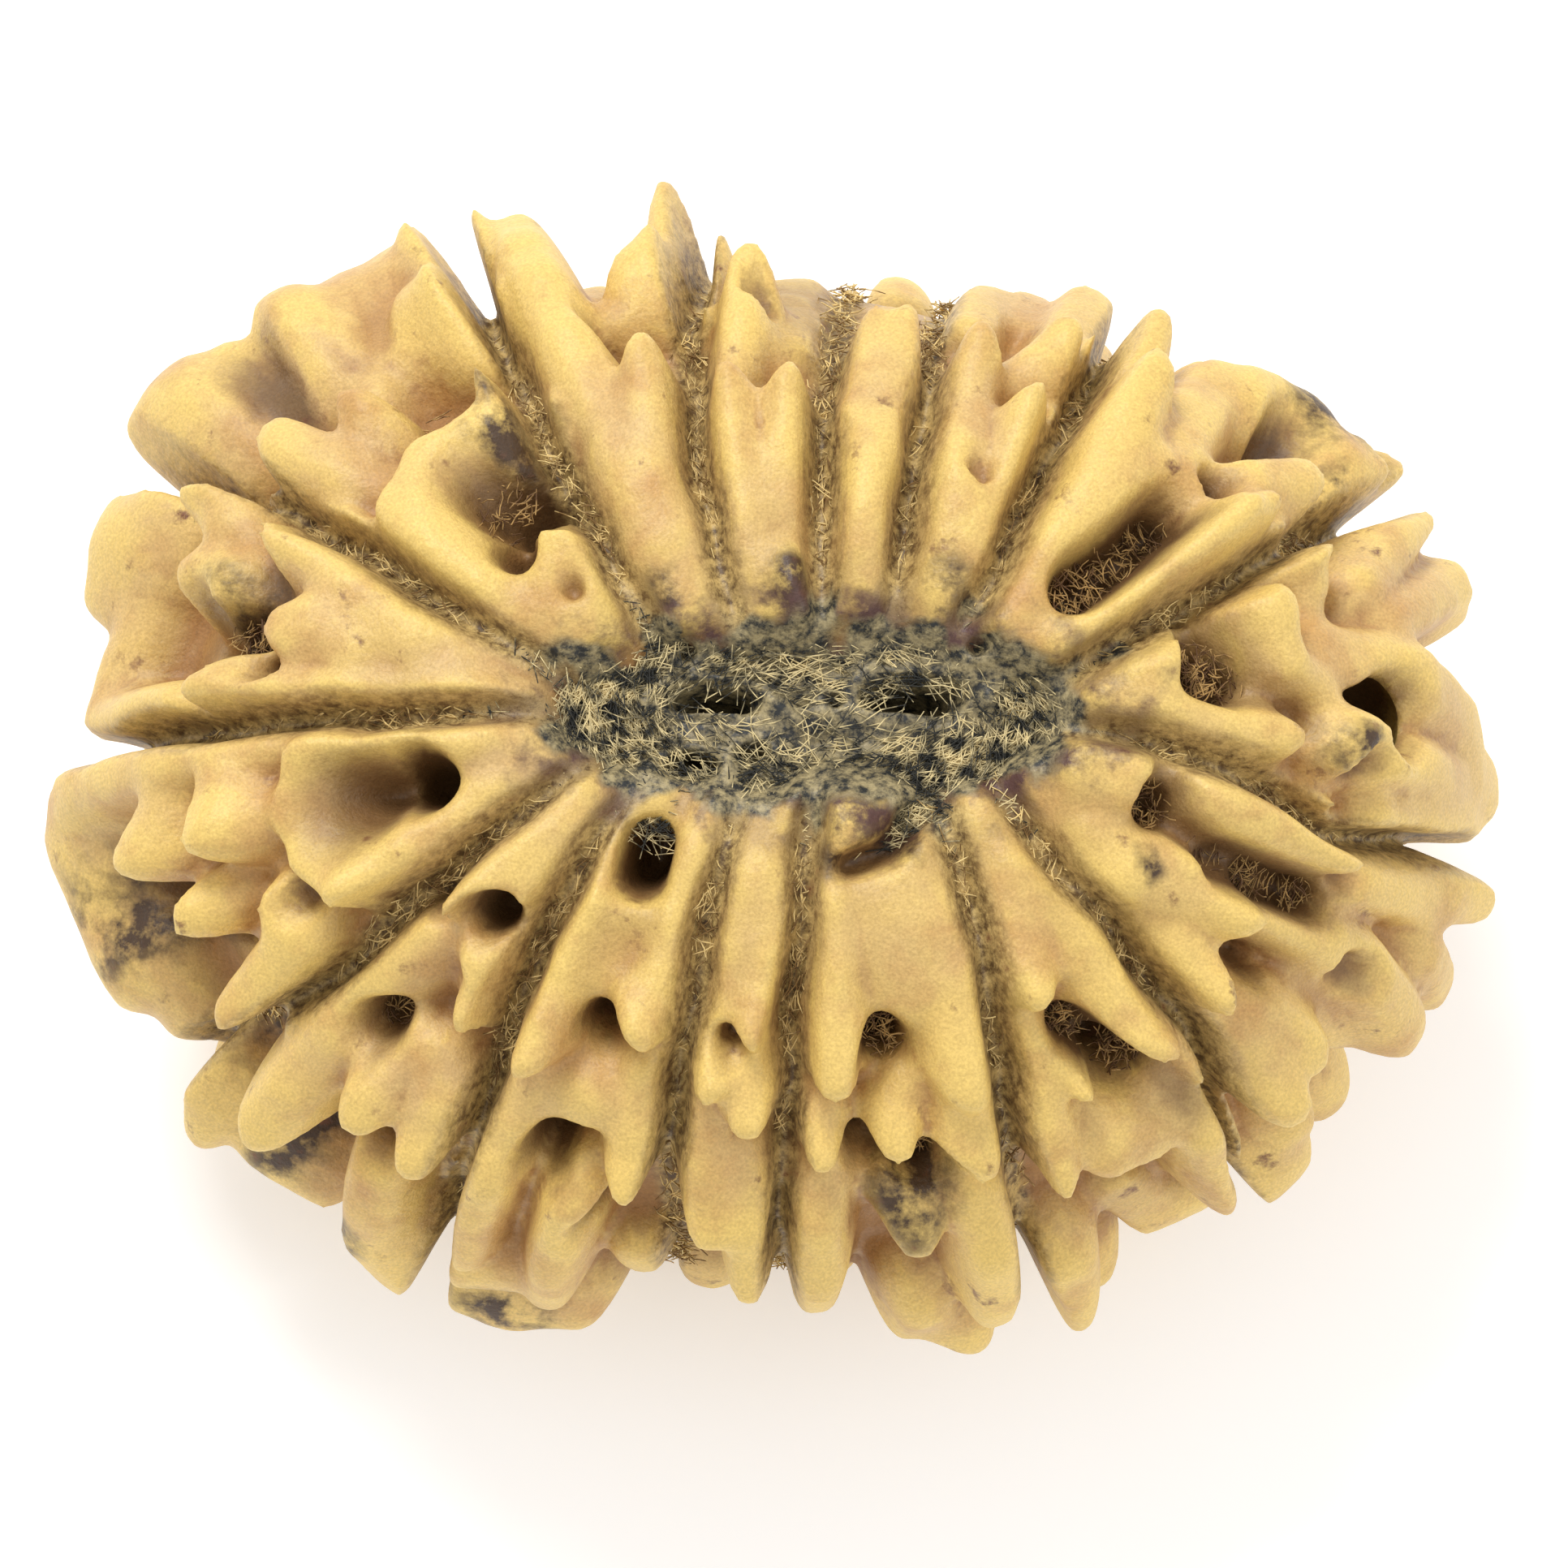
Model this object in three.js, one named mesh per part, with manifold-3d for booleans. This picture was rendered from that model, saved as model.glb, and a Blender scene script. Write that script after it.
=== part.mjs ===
// Fifteen mukhi rudraksha bead: the stony stone of a fruit, flattened and oval, about thirty millimetres wide.
// Fifteen ribs run from pole to pole with deep grooves between them. Every rib is a net of rounded crests that
// end in blunt fingers and knobs, with pits between them. The whole stone grew as one piece.
// One small seed lies loose in a chamber behind the largest hole.
// Millimetres, +Z up along the line from pole to pole, +X the long way.
// The origin is the middle of the small flat resting spot round the lower pole.

import * as THREE from 'three';
import { mergeVertices } from 'three/addons/utils/BufferGeometryUtils.js';
import Module from 'manifold-3d';

// Half sizes of the oval through the crests' usual height, and of the slot that each pole is drawn out to
const HALF_X = 13.6;
const HALF_Y = 11.2;
const HALF_Z = 8.8;
const SLOT_HALF = 4.2;
// The upper pole lies a little off the middle
const POLE_X = 0.85;
const POLE_Y = -0.65;
// The groove floors lie this far under the oval. Heights are counted from them.
const FLOOR_DEPTH = 1.0;
// Distance from the middle of the bead down to its flat resting spot
const REST_DEPTH = 7.75;

// Height of the ground between the crests, as pairs of tilt from the pole in degrees and height in mm.
// The upper pole is a shallow dish, and the lower one swells out to a low boss.
const UPPER_GROUND = [[0, -1.1], [8, -0.9], [16, -0.4], [30, 0], [45, -0.1], [60, -0.3], [90, -0.3]];
const LOWER_GROUND = [[0, 0.3], [14, 0.25], [24, 0.15], [36, 0.1], [50, -0.1], [90, -0.3]];
// Crests sink by this much at the pole and stand higher round the waist, again as pairs of tilt and height
const CREST_LIFT = [[5, -1.3], [11, 0], [60, 0], [80, 0.6], [104, 0.6], [118, 0]];
// A crest has a flat back of this half width and falls off on both sides, steeper round the waist than near
// the poles, as pairs of tilt and slope. A rib's wall stands over its groove at a slope of its own.
const CREST_BACK = 0.32;
const FLANK_SLOPES = [[20, 1.5], [40, 2.2], [60, 3], [90, 3]];
const WALL_SLOPE = 5;
// Half the width of a groove's floor, and how deep it lies
const GROOVE_HALF = 0.16;
const GROOVE_LEVEL = -0.15;
// Pits go from their full depth to nothing between these shares of their radius
const PIT_FLOOR = 0.5;
const PIT_RIM = 1.25;

// Mesh lines from pole to pole on a narrow and on a wide rib, and mesh rows round the bead above and below
const NARROW_LINES = 6;
const WIDE_LINES = 10;
const WIDE_FROM = 22;
// The first line beside a groove stands at this share of the rib's width
const FOOT_SHARE = 0.1;
const UPPER_ROWS = 30;
const LOWER_ROWS = 15;
const CAP_TILT = 4;
const WAIST_TILT = 97;

// Turn round the pole of each groove in degrees from +X towards +Y, at these three tilts
const GROOVE_TILTS = [20, 55, 90];
const GROOVES = [
    [-12, -15, -7.5], [22, 26, 27], [56, 56.5, 57], [72.5, 74, 73], [86.5, 84, 82], [104, 99, 92.5],
    [122, 119, 115.5], [153, 149.5, 152.5], [182.5, 181, 178.5], [217.5, 218, 210.5], [234, 239.5, 240.5],
    [256.5, 259.3, 262], [270.5, 270.3, 271], [296.5, 293.2, 292], [312, 314.8, 312.5]];

// The fifteen ribs, anticlockwise from +X. A crest is its radius in mm, then the points that its ridge
// runs through, each as turn round the pole in degrees, tilt from the pole in degrees and height in mm.
// A pit is its radius and depth in mm, then the turn and tilt of the points that it runs through.
const RIBS = [
    {
        name: 'east',
        crests: [
            [0.45, [18, 4, 0.0], [357, 11, 0.5], [355.5, 20, 0.9], [355.5, 31, 1.1], [356, 38, 1.6]],
            [0.45, [13, 14, 0.6], [13, 21, 1.2], [3, 20, 0.8]],
            [0.4, [21.5, 39, 2.1], [15.5, 38.5, 1.6], [8, 38.5, 1.3], [3, 45, 1.0], [359, 50, 0.9]],
            [0.8, [14, 33, 0.2], [8, 44, 0.5]],
            [0.4, [23, 52, 2.3], [19.5, 50, 1.3], [12, 48, 0.7]],
            [0.4, [24, 80, 2.0], [17.5, 61, 1.4], [12, 56, 0.8]],
            [0.45, [17, 90, 1.9], [17.5, 84, 1.9], [12.5, 64, 1.5]],
            [0.7, [9, 48, 1.1], [7, 59, 1.4], [6, 64, 1.7], [3, 80, 1.5], [359.5, 84, 1.5],
             [359, 92, 1.9]],
            [0.5, [356, 51, 1.8], [355.8, 59, 1.8], [357, 82, 1.4]],
            [0.6, [355, 85, 1.2], [348.5, 62, 1.4]],
            [0.5, [352, 72, 1.3], [354.5, 92, 1.5]]],
        pits: [[0.75, 2.6, [0.8, 57]], [0.35, 0.9, [353.5, 50]], [0.6, 1.2, [9, 26], [5, 30]]]},
    {
        name: 'fork',
        crests: [
            [0.6, [50, 10, 0.2], [49, 16, 0.8], [48.5, 24, 1.2], [49, 33, 1.5], [50.5, 43, 1.9],
             [51.5, 48, 2.3]],
            [0.6, [51.5, 51, 1.3], [54.3, 60, 2.1]],
            [0.5, [47, 29, 1.2], [42, 32.5, 1.4], [43.5, 39, 1.5]],
            [0.45, [40, 10, 0.4], [33, 15, 0.8], [29.5, 22, 1.2], [29.5, 29, 1.6], [30, 36, 2.0],
             [29.5, 40, 2.3]],
            [0.4, [30, 38, 1.8], [28.5, 44.5, 2.2]],
            [0.8, [44, 44, 1.3], [45, 66, 1.2], [41.5, 70, 1.5], [37.5, 76, 1.7]],
            [0.5, [41.5, 41, 1.2], [34.5, 47, 1.5], [31, 57.5, 1.8]],
            [0.6, [32, 76, 1.7], [30, 86, 2.1], [29, 71, 1.1]],
            [0.7, [47, 78, 0.6], [40, 90, 1.6]]],
        pits: [[0.6, 1.6, [40, 20], [38, 26], [37.5, 34]], [0.4, 1.2, [36.5, 43]], [0.6, 1.4, [37, 67]],
            [0.45, 1.2, [31, 80]]]},
    {
        name: 'north east',
        crests: [
            [0.6, [61.5, 12, 0.2], [63.5, 16.5, 0.6], [66, 23, 1.0], [68, 28, 1.3], [70, 39, 1.3],
             [70.5, 44, 1.9]],
            [0.5, [61, 14, 0.4], [60, 22, 0.9], [59.5, 31, 1.3], [59.5, 37.5, 2.0]],
            [0.45, [65, 45, 0.9], [62, 49, 1.3], [61, 52, 1.8]],
            [0.6, [60.5, 60, 0.9], [60.5, 74, 0.9]],
            [0.6, [70, 58, 0.6], [70, 74, 0.2]],
            [0.7, [65.5, 68, 0.2], [66, 86, 0.1]]],
        pits: [[0.3, 0.6, [64.5, 27]]]},
    {
        name: 'north narrow',
        crests: [
            [0.7, [75, 10, 0.0], [76.5, 15.5, 0.5], [80, 20, 0.9], [81.5, 23.5, 1.2], [80, 30.5, 1.1],
             [79, 36.5, 1.2]],
            [0.4, [80.5, 37.5, 1.2], [80.7, 46, 1.5]],
            [0.4, [77.3, 38, 1.2], [76.7, 47, 1.6]],
            [0.7, [79, 56, 0.1], [78.5, 66, -0.3]]],
        pits: []},
    {
        name: 'north pair',
        crests: [
            [0.55, [97.5, 9, 0.0], [101, 11.5, 0.3], [100.5, 16, 0.6], [100, 22, 0.9], [99.5, 28, 1.2],
             [99.2, 34, 1.5],
         [99, 36, 1.7]],
            [0.6, [90.5, 9, 0.2], [89.5, 13, 0.6], [90, 15, 0.8], [92.5, 20, 0.5], [92, 24, 0.9],
             [89.5, 30, 1.3],
         [88.5, 35, 1.8]],
            [0.35, [96, 41, 1.0], [94.5, 47, 1.3], [93, 56, 1.8]],
            [0.8, [90.5, 47, 0.5], [89, 60, 0.1], [88, 80, -0.5]],
            [0.6, [87, 56, 0.1], [86, 66, -0.3]]],
        pits: [[0.35, 0.9, [92.5, 50]]]},
    {
        name: 'north west',
        crests: [
            [0.6, [110, 9, 0.0], [112, 14.5, 0.4], [112, 20.5, 0.8], [112, 26, 1.0], [112, 33, 1.2]],
            [0.5, [112.5, 38, 1.2], [113, 48, 1.6], [113, 57, 2.0], [113, 64, 2.2], [112.7, 72, 2.1]],
            [0.5, [109.5, 28.5, 1.1], [107, 35.5, 1.4], [105.3, 40.5, 1.9]],
            [0.5, [107, 54, 1.0], [104, 58, 1.6], [101.3, 60, 2.1]],
            [0.5, [99.5, 64, 1.5], [98.2, 72, 2.2]],
            [0.7, [108, 72, 0.0], [107, 88, -0.2]]],
        pits: [[0.4, 0.9, [109, 48]]]},
    {
        name: 'sickle',
        crests: [
            [0.8, [138.5, 10, 0.0], [134.5, 16, 0.5], [130, 20, 0.9], [127.5, 22.5, 1.2]],
            [0.7, [143.5, 12, 0.1], [145, 19, 0.6], [146.5, 25, 1.0], [146, 31.5, 1.3],
             [141.5, 37, 1.4], [135, 40, 1.4],
         [128, 39.7, 1.3], [123.5, 38, 1.1]],
            [0.45, [125, 41, 1.4], [122.8, 44.5, 2.2]],
            [0.5, [140.5, 43.5, 0.9], [143, 49.5, 1.4], [144.3, 57.5, 2.0]],
            [0.45, [139.5, 50, 1.2], [136.5, 53, 1.8]],
            [0.6, [132.5, 61.5, 1.0], [132, 70, 1.9], [134, 71, 1.8]],
            [0.5, [129.5, 64, 1.1], [124, 66, 1.9], [120.5, 64, 2.7]],
            [0.7, [138, 76, 2.3], [133.5, 76, 2.8], [128.5, 77, 2.3], [122, 77, 2.2], [118.8, 77, 3.2]],
            [0.7, [140.5, 80, 2.6], [143.5, 82, 2.9], [147, 84, 2.8], [149, 84, 2.4]]],
        pits: [[0.8, 1.6, [127.5, 30]], [0.8, 1.0, [132, 33]], [0.5, 1.2, [135.5, 24.5]],
         [0.4, 1.2, [130, 48]],
            [0.7, 1.0, [139, 68]], [0.3, 0.6, [132.5, 17]]]},
    {
        name: 'arrow',
        crests: [
            [0.6, [172, 16, 0.2], [165, 22, 0.5], [161, 26, 0.8], [156, 36.5, 1.2], [153.3, 45, 1.8],
             [153.7, 48, 2.0]],
            [0.5, [176, 16, 0.2], [179.5, 24, 0.6], [179.5, 33, 1.1], [179, 43, 1.5], [178.3, 51, 1.9]],
            [1.1, [170, 22, 0.5], [168.5, 32, 0.8]],
            [0.5, [168, 32.5, 1.0], [165, 38, 1.3], [167.5, 40.5, 1.5]],
            [0.5, [157.5, 54, 1.0], [154.5, 60, 1.6], [153.3, 63, 2.2]],
            [0.7, [162.5, 51.5, 1.3], [161.5, 59.5, 1.5]],
            [0.5, [175, 45, 1.2], [171.5, 52, 1.3]],
            [0.8, [153.5, 80, 1.9], [157, 84, 2.1], [161, 88, 1.9]],
            [0.6, [164.5, 82, 1.0], [170.5, 84, 1.0], [174, 84, 1.1]],
            [0.5, [178, 60, 1.4], [175.5, 88, 1.0]]],
        pits: [[0.55, 2.0, [167, 46.5], [168.5, 51]], [0.35, 1.0, [173.5, 42]]]},
    {
        name: 'crescent',
        crests: [
            [0.7, [202, 8, 0.0], [190, 11, 0.4], [187, 17.5, 0.9], [187, 22.5, 1.1]],
            [0.6, [206, 10, 0.0], [212, 20, 0.6], [212.5, 27.5, 0.9], [212.3, 34, 1.4], [213, 39, 2.1]],
            [0.5, [185.7, 28, 1.2], [185.2, 32, 1.4], [190, 37.5, 1.4], [197, 41, 1.4],
             [204, 41.3, 1.5], [210, 39.6, 1.8]],
            [0.6, [184.5, 44.5, 1.2], [183.3, 51, 1.5], [184.6, 58.5, 1.6], [183, 80, 1.6],
             [184.5, 88, 1.9]],
            [0.45, [188.8, 51, 1.6], [195.5, 52.2, 2.2]],
            [0.4, [189, 61.5, 1.6], [194, 65.5, 2.2]],
            [0.4, [203, 54.5, 1.0], [202, 60.5, 1.4], [202.6, 61.5, 2.1]],
            [0.5, [208.3, 50, 1.5], [211.7, 52.5, 1.4], [213, 59, 1.6], [214, 64, 2.1]],
            [0.8, [188, 92, 2.0], [195, 92, 1.6], [200.5, 92, 1.6], [205.5, 92, 1.0]]],
        pits: [[1.1, 0.9, [199, 33]], [0.65, 2.4, [200, 25]], [0.7, 1.8, [195, 78], [202, 71]],
         [0.4, 0.9, [208, 45.5]]]},
    {
        name: 'south west',
        crests: [
            [0.65, [224, 10, 0.0], [223.3, 16, 0.5], [223, 24, 0.9], [222.5, 31.4, 1.6]],
            [0.55, [227.5, 14, 0.0], [230, 20, 0.5], [232.8, 27, 0.9], [233.3, 33, 1.2],
             [231.7, 37, 1.3]],
            [0.45, [234.3, 34, 1.2], [235, 40.5, 1.5], [235.8, 44.5, 2.0]],
            [0.55, [223, 38.7, 0.9], [221.7, 48, 1.0], [222.3, 58, 1.3], [222.5, 69.4, 1.8],
             [222.5, 74.5, 2.1]],
            [0.6, [225.5, 41, 0.6], [224.5, 45, 0.7]],
            [0.4, [224, 60, 0.9], [224.7, 64.3, 1.3]],
            [0.45, [229, 54, 1.2], [229.6, 61.5, 1.9], [229.7, 62.5, 2.1]],
            [0.45, [232.7, 53.6, 1.2], [235.5, 59, 1.6], [236.5, 64, 2.2]],
            [0.6, [213, 94, 1.6], [215, 98, 2.0]],
            [0.6, [221, 98, 1.4], [227, 100, 1.2]],
            [0.6, [233, 74, 1.3], [234.5, 92, 1.5], [237.8, 103, 2.0]]],
        pits: [[0.5, 2.2, [228.2, 31]], [0.55, 1.3, [225.8, 52]], [0.4, 1.3, [226.2, 75]],
         [0.45, 1.3, [232, 69]]]},
    {
        name: 'keyhole',
        crests: [
            [0.5, [238, 11, 0.0], [237.3, 19, 0.4], [238, 26, 0.8], [239.3, 35, 1.1],
             [240.6, 42.4, 1.7], [241, 44.3, 2.0]],
            [0.5, [251.3, 11, 0.0], [253, 18, 0.4], [254.2, 26.4, 0.8], [254.3, 33.7, 1.2],
             [254, 37.7, 1.9]],
            [0.9, [246.4, 28, 0.6], [245.7, 33.4, 0.8]],
            [0.5, [243.3, 48.8, 1.0], [243, 57.3, 1.3], [243, 63.6, 1.7], [242.8, 80, 1.4]],
            [0.5, [255.2, 45.5, 1.0], [255.8, 53.5, 1.3], [256.3, 58, 1.9]],
            [0.6, [243.8, 51.9, 0.9], [249.5, 49.7, 1.0], [253.2, 50.8, 1.0]],
            [0.45, [251, 64.7, 1.6], [250.8, 76, 1.4], [250.8, 88, 1.2]],
            [0.5, [242.5, 88, 1.4], [246.9, 86, 1.1]],
            [0.55, [257.5, 80, 0.3], [258, 88, 0.1]],
            [0.8, [243, 100, 1.7], [247, 101, 1.6], [252, 101, 1.4]]],
        pits: [[0.5, 2.4, [243, 17.5], [244.5, 21.3]], [0.45, 1.3, [247.9, 39.2]],
         [0.55, 1.3, [247.5, 58.5]],
            [0.4, 1.0, [253.5, 66]]]},
    {
        name: 'south narrow',
        crests: [
            [0.5, [260, 12, 0.1], [259.5, 20.5, 0.5], [260, 29, 0.8], [260.3, 37, 1.1], [261, 43.4, 1.8]],
            [0.5, [268.3, 12, 0.1], [267.2, 21, 0.5], [267.2, 30, 0.9], [267.2, 37, 1.7]],
            [0.7, [263, 20, 0.5], [262.8, 27, 0.7]],
            [0.4, [265.7, 42.3, 1.2], [266.5, 47.5, 1.9]],
            [0.45, [262.3, 49.3, 1.2], [263, 56.7, 1.4], [264, 63.5, 1.8]],
            [0.4, [265.8, 54.7, 1.2], [267.2, 63, 1.6], [268, 72, 1.7]],
            [0.45, [268, 76, 0.6], [268.6, 90, 0.3]]],
        pits: [[0.35, 0.9, [263.3, 37.7]]]},
    {
        name: 'shield',
        crests: [
            [0.6, [284, 9, 0.4], [275.5, 9.5, 0.6], [275.5, 13.7, 0.9]],
            [0.5, [274, 23.6, 0.9], [274, 31.6, 1.2], [275, 41.6, 1.9]],
            [0.6, [289.5, 18.5, 0.3], [290.4, 26.4, 0.7], [290.7, 35.3, 1.0], [290, 46, 1.8]],
            [1.0, [283.3, 20.6, 0.6], [284.3, 28, 0.8], [284.6, 33, 0.9]],
            [0.4, [274.5, 48.4, 1.0], [273.8, 52.5, 1.7]],
            [0.4, [283.1, 46.6, 0.9], [281.4, 52, 1.6]],
            [0.6, [288.7, 51, 1.4], [288.7, 56.5, 1.9]],
            [0.45, [275.3, 56.5, 1.1], [273.8, 63.6, 1.5], [273.8, 72, 1.7]],
            [0.5, [280.6, 61.7, 1.1], [282.7, 67.3, 1.5]],
            [0.5, [288.3, 64.5, 1.4], [289, 73, 1.7], [288.7, 88, 1.5]],
            [0.45, [274, 78, 0.8], [273.8, 96, 0.5]],
            [0.6, [283, 92, 1.2], [282.4, 101, 1.3], [286, 102, 1.9]]],
        pits: [[0.5, 1.8, [280.5, 39]], [0.3, 0.9, [278, 18], [285, 17], [291, 13.5]],
         [0.4, 1.4, [277.8, 52.7]], [0.45, 1.4, [283, 57]]]},
    {
        name: 'south east',
        crests: [
            [0.5, [303.2, 17, 0.2], [303, 23, 0.5], [301, 30, 0.9], [298.7, 36.4, 1.7]],
            [0.6, [304.7, 15.5, 0.1], [307.7, 24.7, 0.6], [309.3, 33.7, 0.9], [310.3, 42.6, 1.2],
             [310.8, 50, 1.9]],
            [0.5, [306.5, 27.6, 0.6], [307.3, 36, 0.9], [307.8, 43.4, 1.2], [307.4, 48, 1.8]],
            [0.8, [303.5, 30, 0.5], [303.5, 36, 0.5]],
            [0.45, [297, 41.5, 0.9], [297, 52, 1.2], [296.5, 58.2, 1.5], [295.7, 62.6, 1.9]],
            [0.35, [300.4, 48.7, 1.2], [301.1, 51.2, 1.7]],
            [0.5, [299.8, 57.4, 1.0], [301.2, 63.5, 1.5], [306, 66, 1.4]],
            [0.5, [311, 57, 1.2], [311, 61, 1.4], [311, 68.7, 1.7], [311.3, 86, 1.5]],
            [0.7, [295.5, 88, 1.2], [294.6, 102, 2.1]],
            [0.7, [302.6, 84, 0.1], [306, 98, 0.8], [310, 100, 1.0]]],
        pits: [[0.5, 1.6, [303, 45], [307.5, 54]]]},
    {
        name: 'lozenge',
        crests: [
            [0.6, [322.3, 13.3, 0.2], [331.3, 15.7, 0.7], [334.2, 19.8, 1.1]],
            [0.6, [318, 15.8, 0.3], [318.5, 23.7, 0.8], [318.4, 29.4, 1.3]],
            [0.7, [320, 30, 1.0], [325.6, 35.8, 1.1], [328.2, 43, 1.7]],
            [0.45, [318.7, 36, 0.9], [318.7, 44, 1.3], [317.7, 49.7, 2.0]],
            [0.5, [318.8, 53, 1.0], [319.6, 64, 1.4], [318.5, 70.3, 2.1]],
            [0.5, [341.4, 28.5, 1.1], [337.5, 31.7, 1.1], [335.5, 40, 1.2], [339.4, 49.6, 1.2]],
            [0.5, [342.5, 28, 1.2], [343.3, 35, 1.4], [342.7, 44.4, 1.4], [342.7, 52.8, 1.9]],
            [0.7, [340, 36, 1.2], [340, 45, 1.2]],
            [0.6, [331.3, 48.5, 1.0], [333.1, 60, 1.2], [333.7, 70.6, 1.5], [333.1, 86, 1.7]],
            [0.5, [339.3, 57, 1.2], [344.5, 80, 1.2], [346, 84, 1.5], [348.3, 91, 2.1]],
            [0.45, [322.7, 58, 1.2], [323.5, 69.3, 1.7]],
            [0.5, [327.5, 62, 0.8], [329, 82, 0.6]],
            [0.6, [320, 92, 1.2], [318, 98, 1.7], [315.3, 100, 1.8]],
            [0.5, [340, 84, 1.5], [340, 97, 1.9]]],
        pits: [[0.55, 1.4, [334.4, 25]], [0.5, 1.4, [331.5, 37], [333.8, 45.3], [336, 55.5]],
         [0.4, 1.0, [325, 54]]]},
];

// The shallow dish at the upper pole, and the holes in the felt that fills it: place in x and y, half size in
// x and y, and depth
const POLE_DISH = [0.85, -0.65, 5.1, 1.35, 0.45];
const POLE_HOLES = [[-1.25, -0.2, 0.9, 0.34, 1.6], [0.8, -0.45, 0.42, 0.3, 1.2], [2.95, -0.1, 1.0, 0.38, 1.8]];
const HOLE_FACES = 10;

// The chamber behind the largest hole and the seed in it: where they lie, and half sizes along the rib,
// across it and inwards
const CHAMBER = { turn: 0.8, tilt: 57, height: -0.4, along: 1.7, across: 1.25, inward: 1.7, faces: 10 };
const SEED = { height: -0.85, along: 1.3, across: 0.85, inward: 0.85, faces: 14 };

// The hidden lower side carries like crests, placed by a rule with a seeded draw: each rib has one chain of
// knobs for so many degrees of its width, which sways from side to side as it runs to the lower pole
const LOWER = {
    seed: 15, degreesPerChain: 13, firstSpread: 6, lastTilt: 160, step: 9, stepLeast: 0.8, stepSpread: 0.4,
    sway: 0.3, radius: 0.55, radiusSpread: 0.2, knob: 1.9, saddle: 1.0, heightSpread: 0.5 };
// The tilt where a chain starts, by its turn: they start lower in front, where the bead is narrow
const FIRST_TILTS = [[-15, 112], [240, 112], [252, 126], [278, 126], [288, 112], [352, 112]];

const radians = THREE.MathUtils.degToRad;

// Seeded draws between 0 and 1, from whole numbers that stay exact
const DRAW_STEP = 48271;
const DRAW_RANGE = 2147483647;

function drawFrom(seed) {
    let state = seed;
    return () => {
        state = (state * DRAW_STEP) % DRAW_RANGE;
        return state / DRAW_RANGE;
    };
}

// The value at a place in a list of pairs, in a straight line between them
function between(pairs, at) {
    let k = 1;
    while (k < pairs.length - 1 && at > pairs[k][0]) {
        k += 1;
    }
    const [[startAt, start], [endAt, end]] = [pairs[k - 1], pairs[k]];
    const share = THREE.MathUtils.clamp((at - startAt) / (endAt - startAt), 0, 1);
    return start + share * (end - start);
}

// The spot at a turn round the pole, a tilt from it and a height over the groove floor
function place(turn, tilt, height) {
    const nearPole = 1 - Math.sin(radians(tilt));
    const offset = tilt < 90 ? nearPole : 0;
    const reach = SLOT_HALF * nearPole + HALF_X * Math.sin(radians(tilt));
    const x = reach * Math.cos(radians(turn)) + POLE_X * offset;
    const y = HALF_Y * Math.sin(radians(tilt)) * Math.sin(radians(turn)) + POLE_Y * offset;
    const z = HALF_Z * Math.cos(radians(tilt));
    const outward = new THREE.Vector3(x / HALF_X ** 2, y / HALF_Y ** 2, z / HALF_Z ** 2).normalize();
    return new THREE.Vector3(x, y, z + REST_DEPTH).addScaledVector(outward, height - FLOOR_DEPTH);
}

// The turn of a groove at a tilt. The hidden lower half mirrors the upper one.
function grooveTurn(index, tilt) {
    const turns = GROOVES[index % GROOVES.length];
    const lap = index < GROOVES.length ? 0 : 360;
    const fromPole = Math.min(tilt, 180 - tilt);
    return lap + between(GROOVE_TILTS.map((value, k) => [value, turns[k]]), fromPole);
}

// The chains of knobs on the lower side
function lowerCrests() {
    const draw = drawFrom(LOWER.seed);
    return RIBS.flatMap((rib, index) => {
        const width = grooveTurn(index + 1, 90) - grooveTurn(index, 90);
        const chains = Math.max(1, Math.round(width / LOWER.degreesPerChain));
        return Array.from({ length: chains }, (_, chain) => {
            const crest = [LOWER.radius + LOWER.radiusSpread * draw()];
            const middle = grooveTurn(index, 90) + width * (chain + 0.5) / chains;
            let tilt = between(FIRST_TILTS, middle) + LOWER.firstSpread * draw();
            while (tilt < LOWER.lastTilt) {
                const share = (chain + 0.5 + LOWER.sway * (2 * draw() - 1)) / chains;
                const turn = THREE.MathUtils.lerp(grooveTurn(index, tilt), grooveTurn(index + 1, tilt), share);
                const isKnob = crest.length % 2 === 1;
                const height = (isKnob ? LOWER.knob : LOWER.saddle) + LOWER.heightSpread * (draw() - 0.5);
                crest.push([turn, tilt, height]);
                tilt += LOWER.step * (LOWER.stepLeast + LOWER.stepSpread * draw());
            }
            return crest;
        });
    });
}

// The segments of chains of points, with the spots on the groove floor's level that they run between
function segmentsOf(chains) {
    return chains.flatMap(({ radius, size, points }) => {
        const stops = points.map(([turn, tilt, height]) => (
            { spot: place(turn, tilt, 0), height: height ?? 0 }));
        const pairs = stops.length > 1
            ? stops.slice(1).map((stop, k) => [stops[k], stop])
            : [[stops[0], stops[0]]];
        return pairs.map(([start, end]) => ({ radius, size, start, end }));
    });
}

// How far a spot is from a segment, and the height of the segment's ridge there
function nearness(spot, { start, end }) {
    const line = new THREE.Line3(start.spot, end.spot);
    const isPoint = start.spot.equals(end.spot);
    const share = isPoint ? 0 : line.closestPointToPointParameter(spot, true);
    const distance = line.at(share, new THREE.Vector3()).distanceTo(spot);
    return { distance, height: THREE.MathUtils.lerp(start.height, end.height, share) };
}

const CRESTS = segmentsOf([...RIBS.flatMap((rib) => rib.crests), ...lowerCrests()].map(
    ([radius, ...points]) => ({ radius, points })));
const PITS = segmentsOf(RIBS.flatMap((rib) => rib.pits).map(
    ([radius, size, ...points]) => ({ radius, size, points })));

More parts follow.
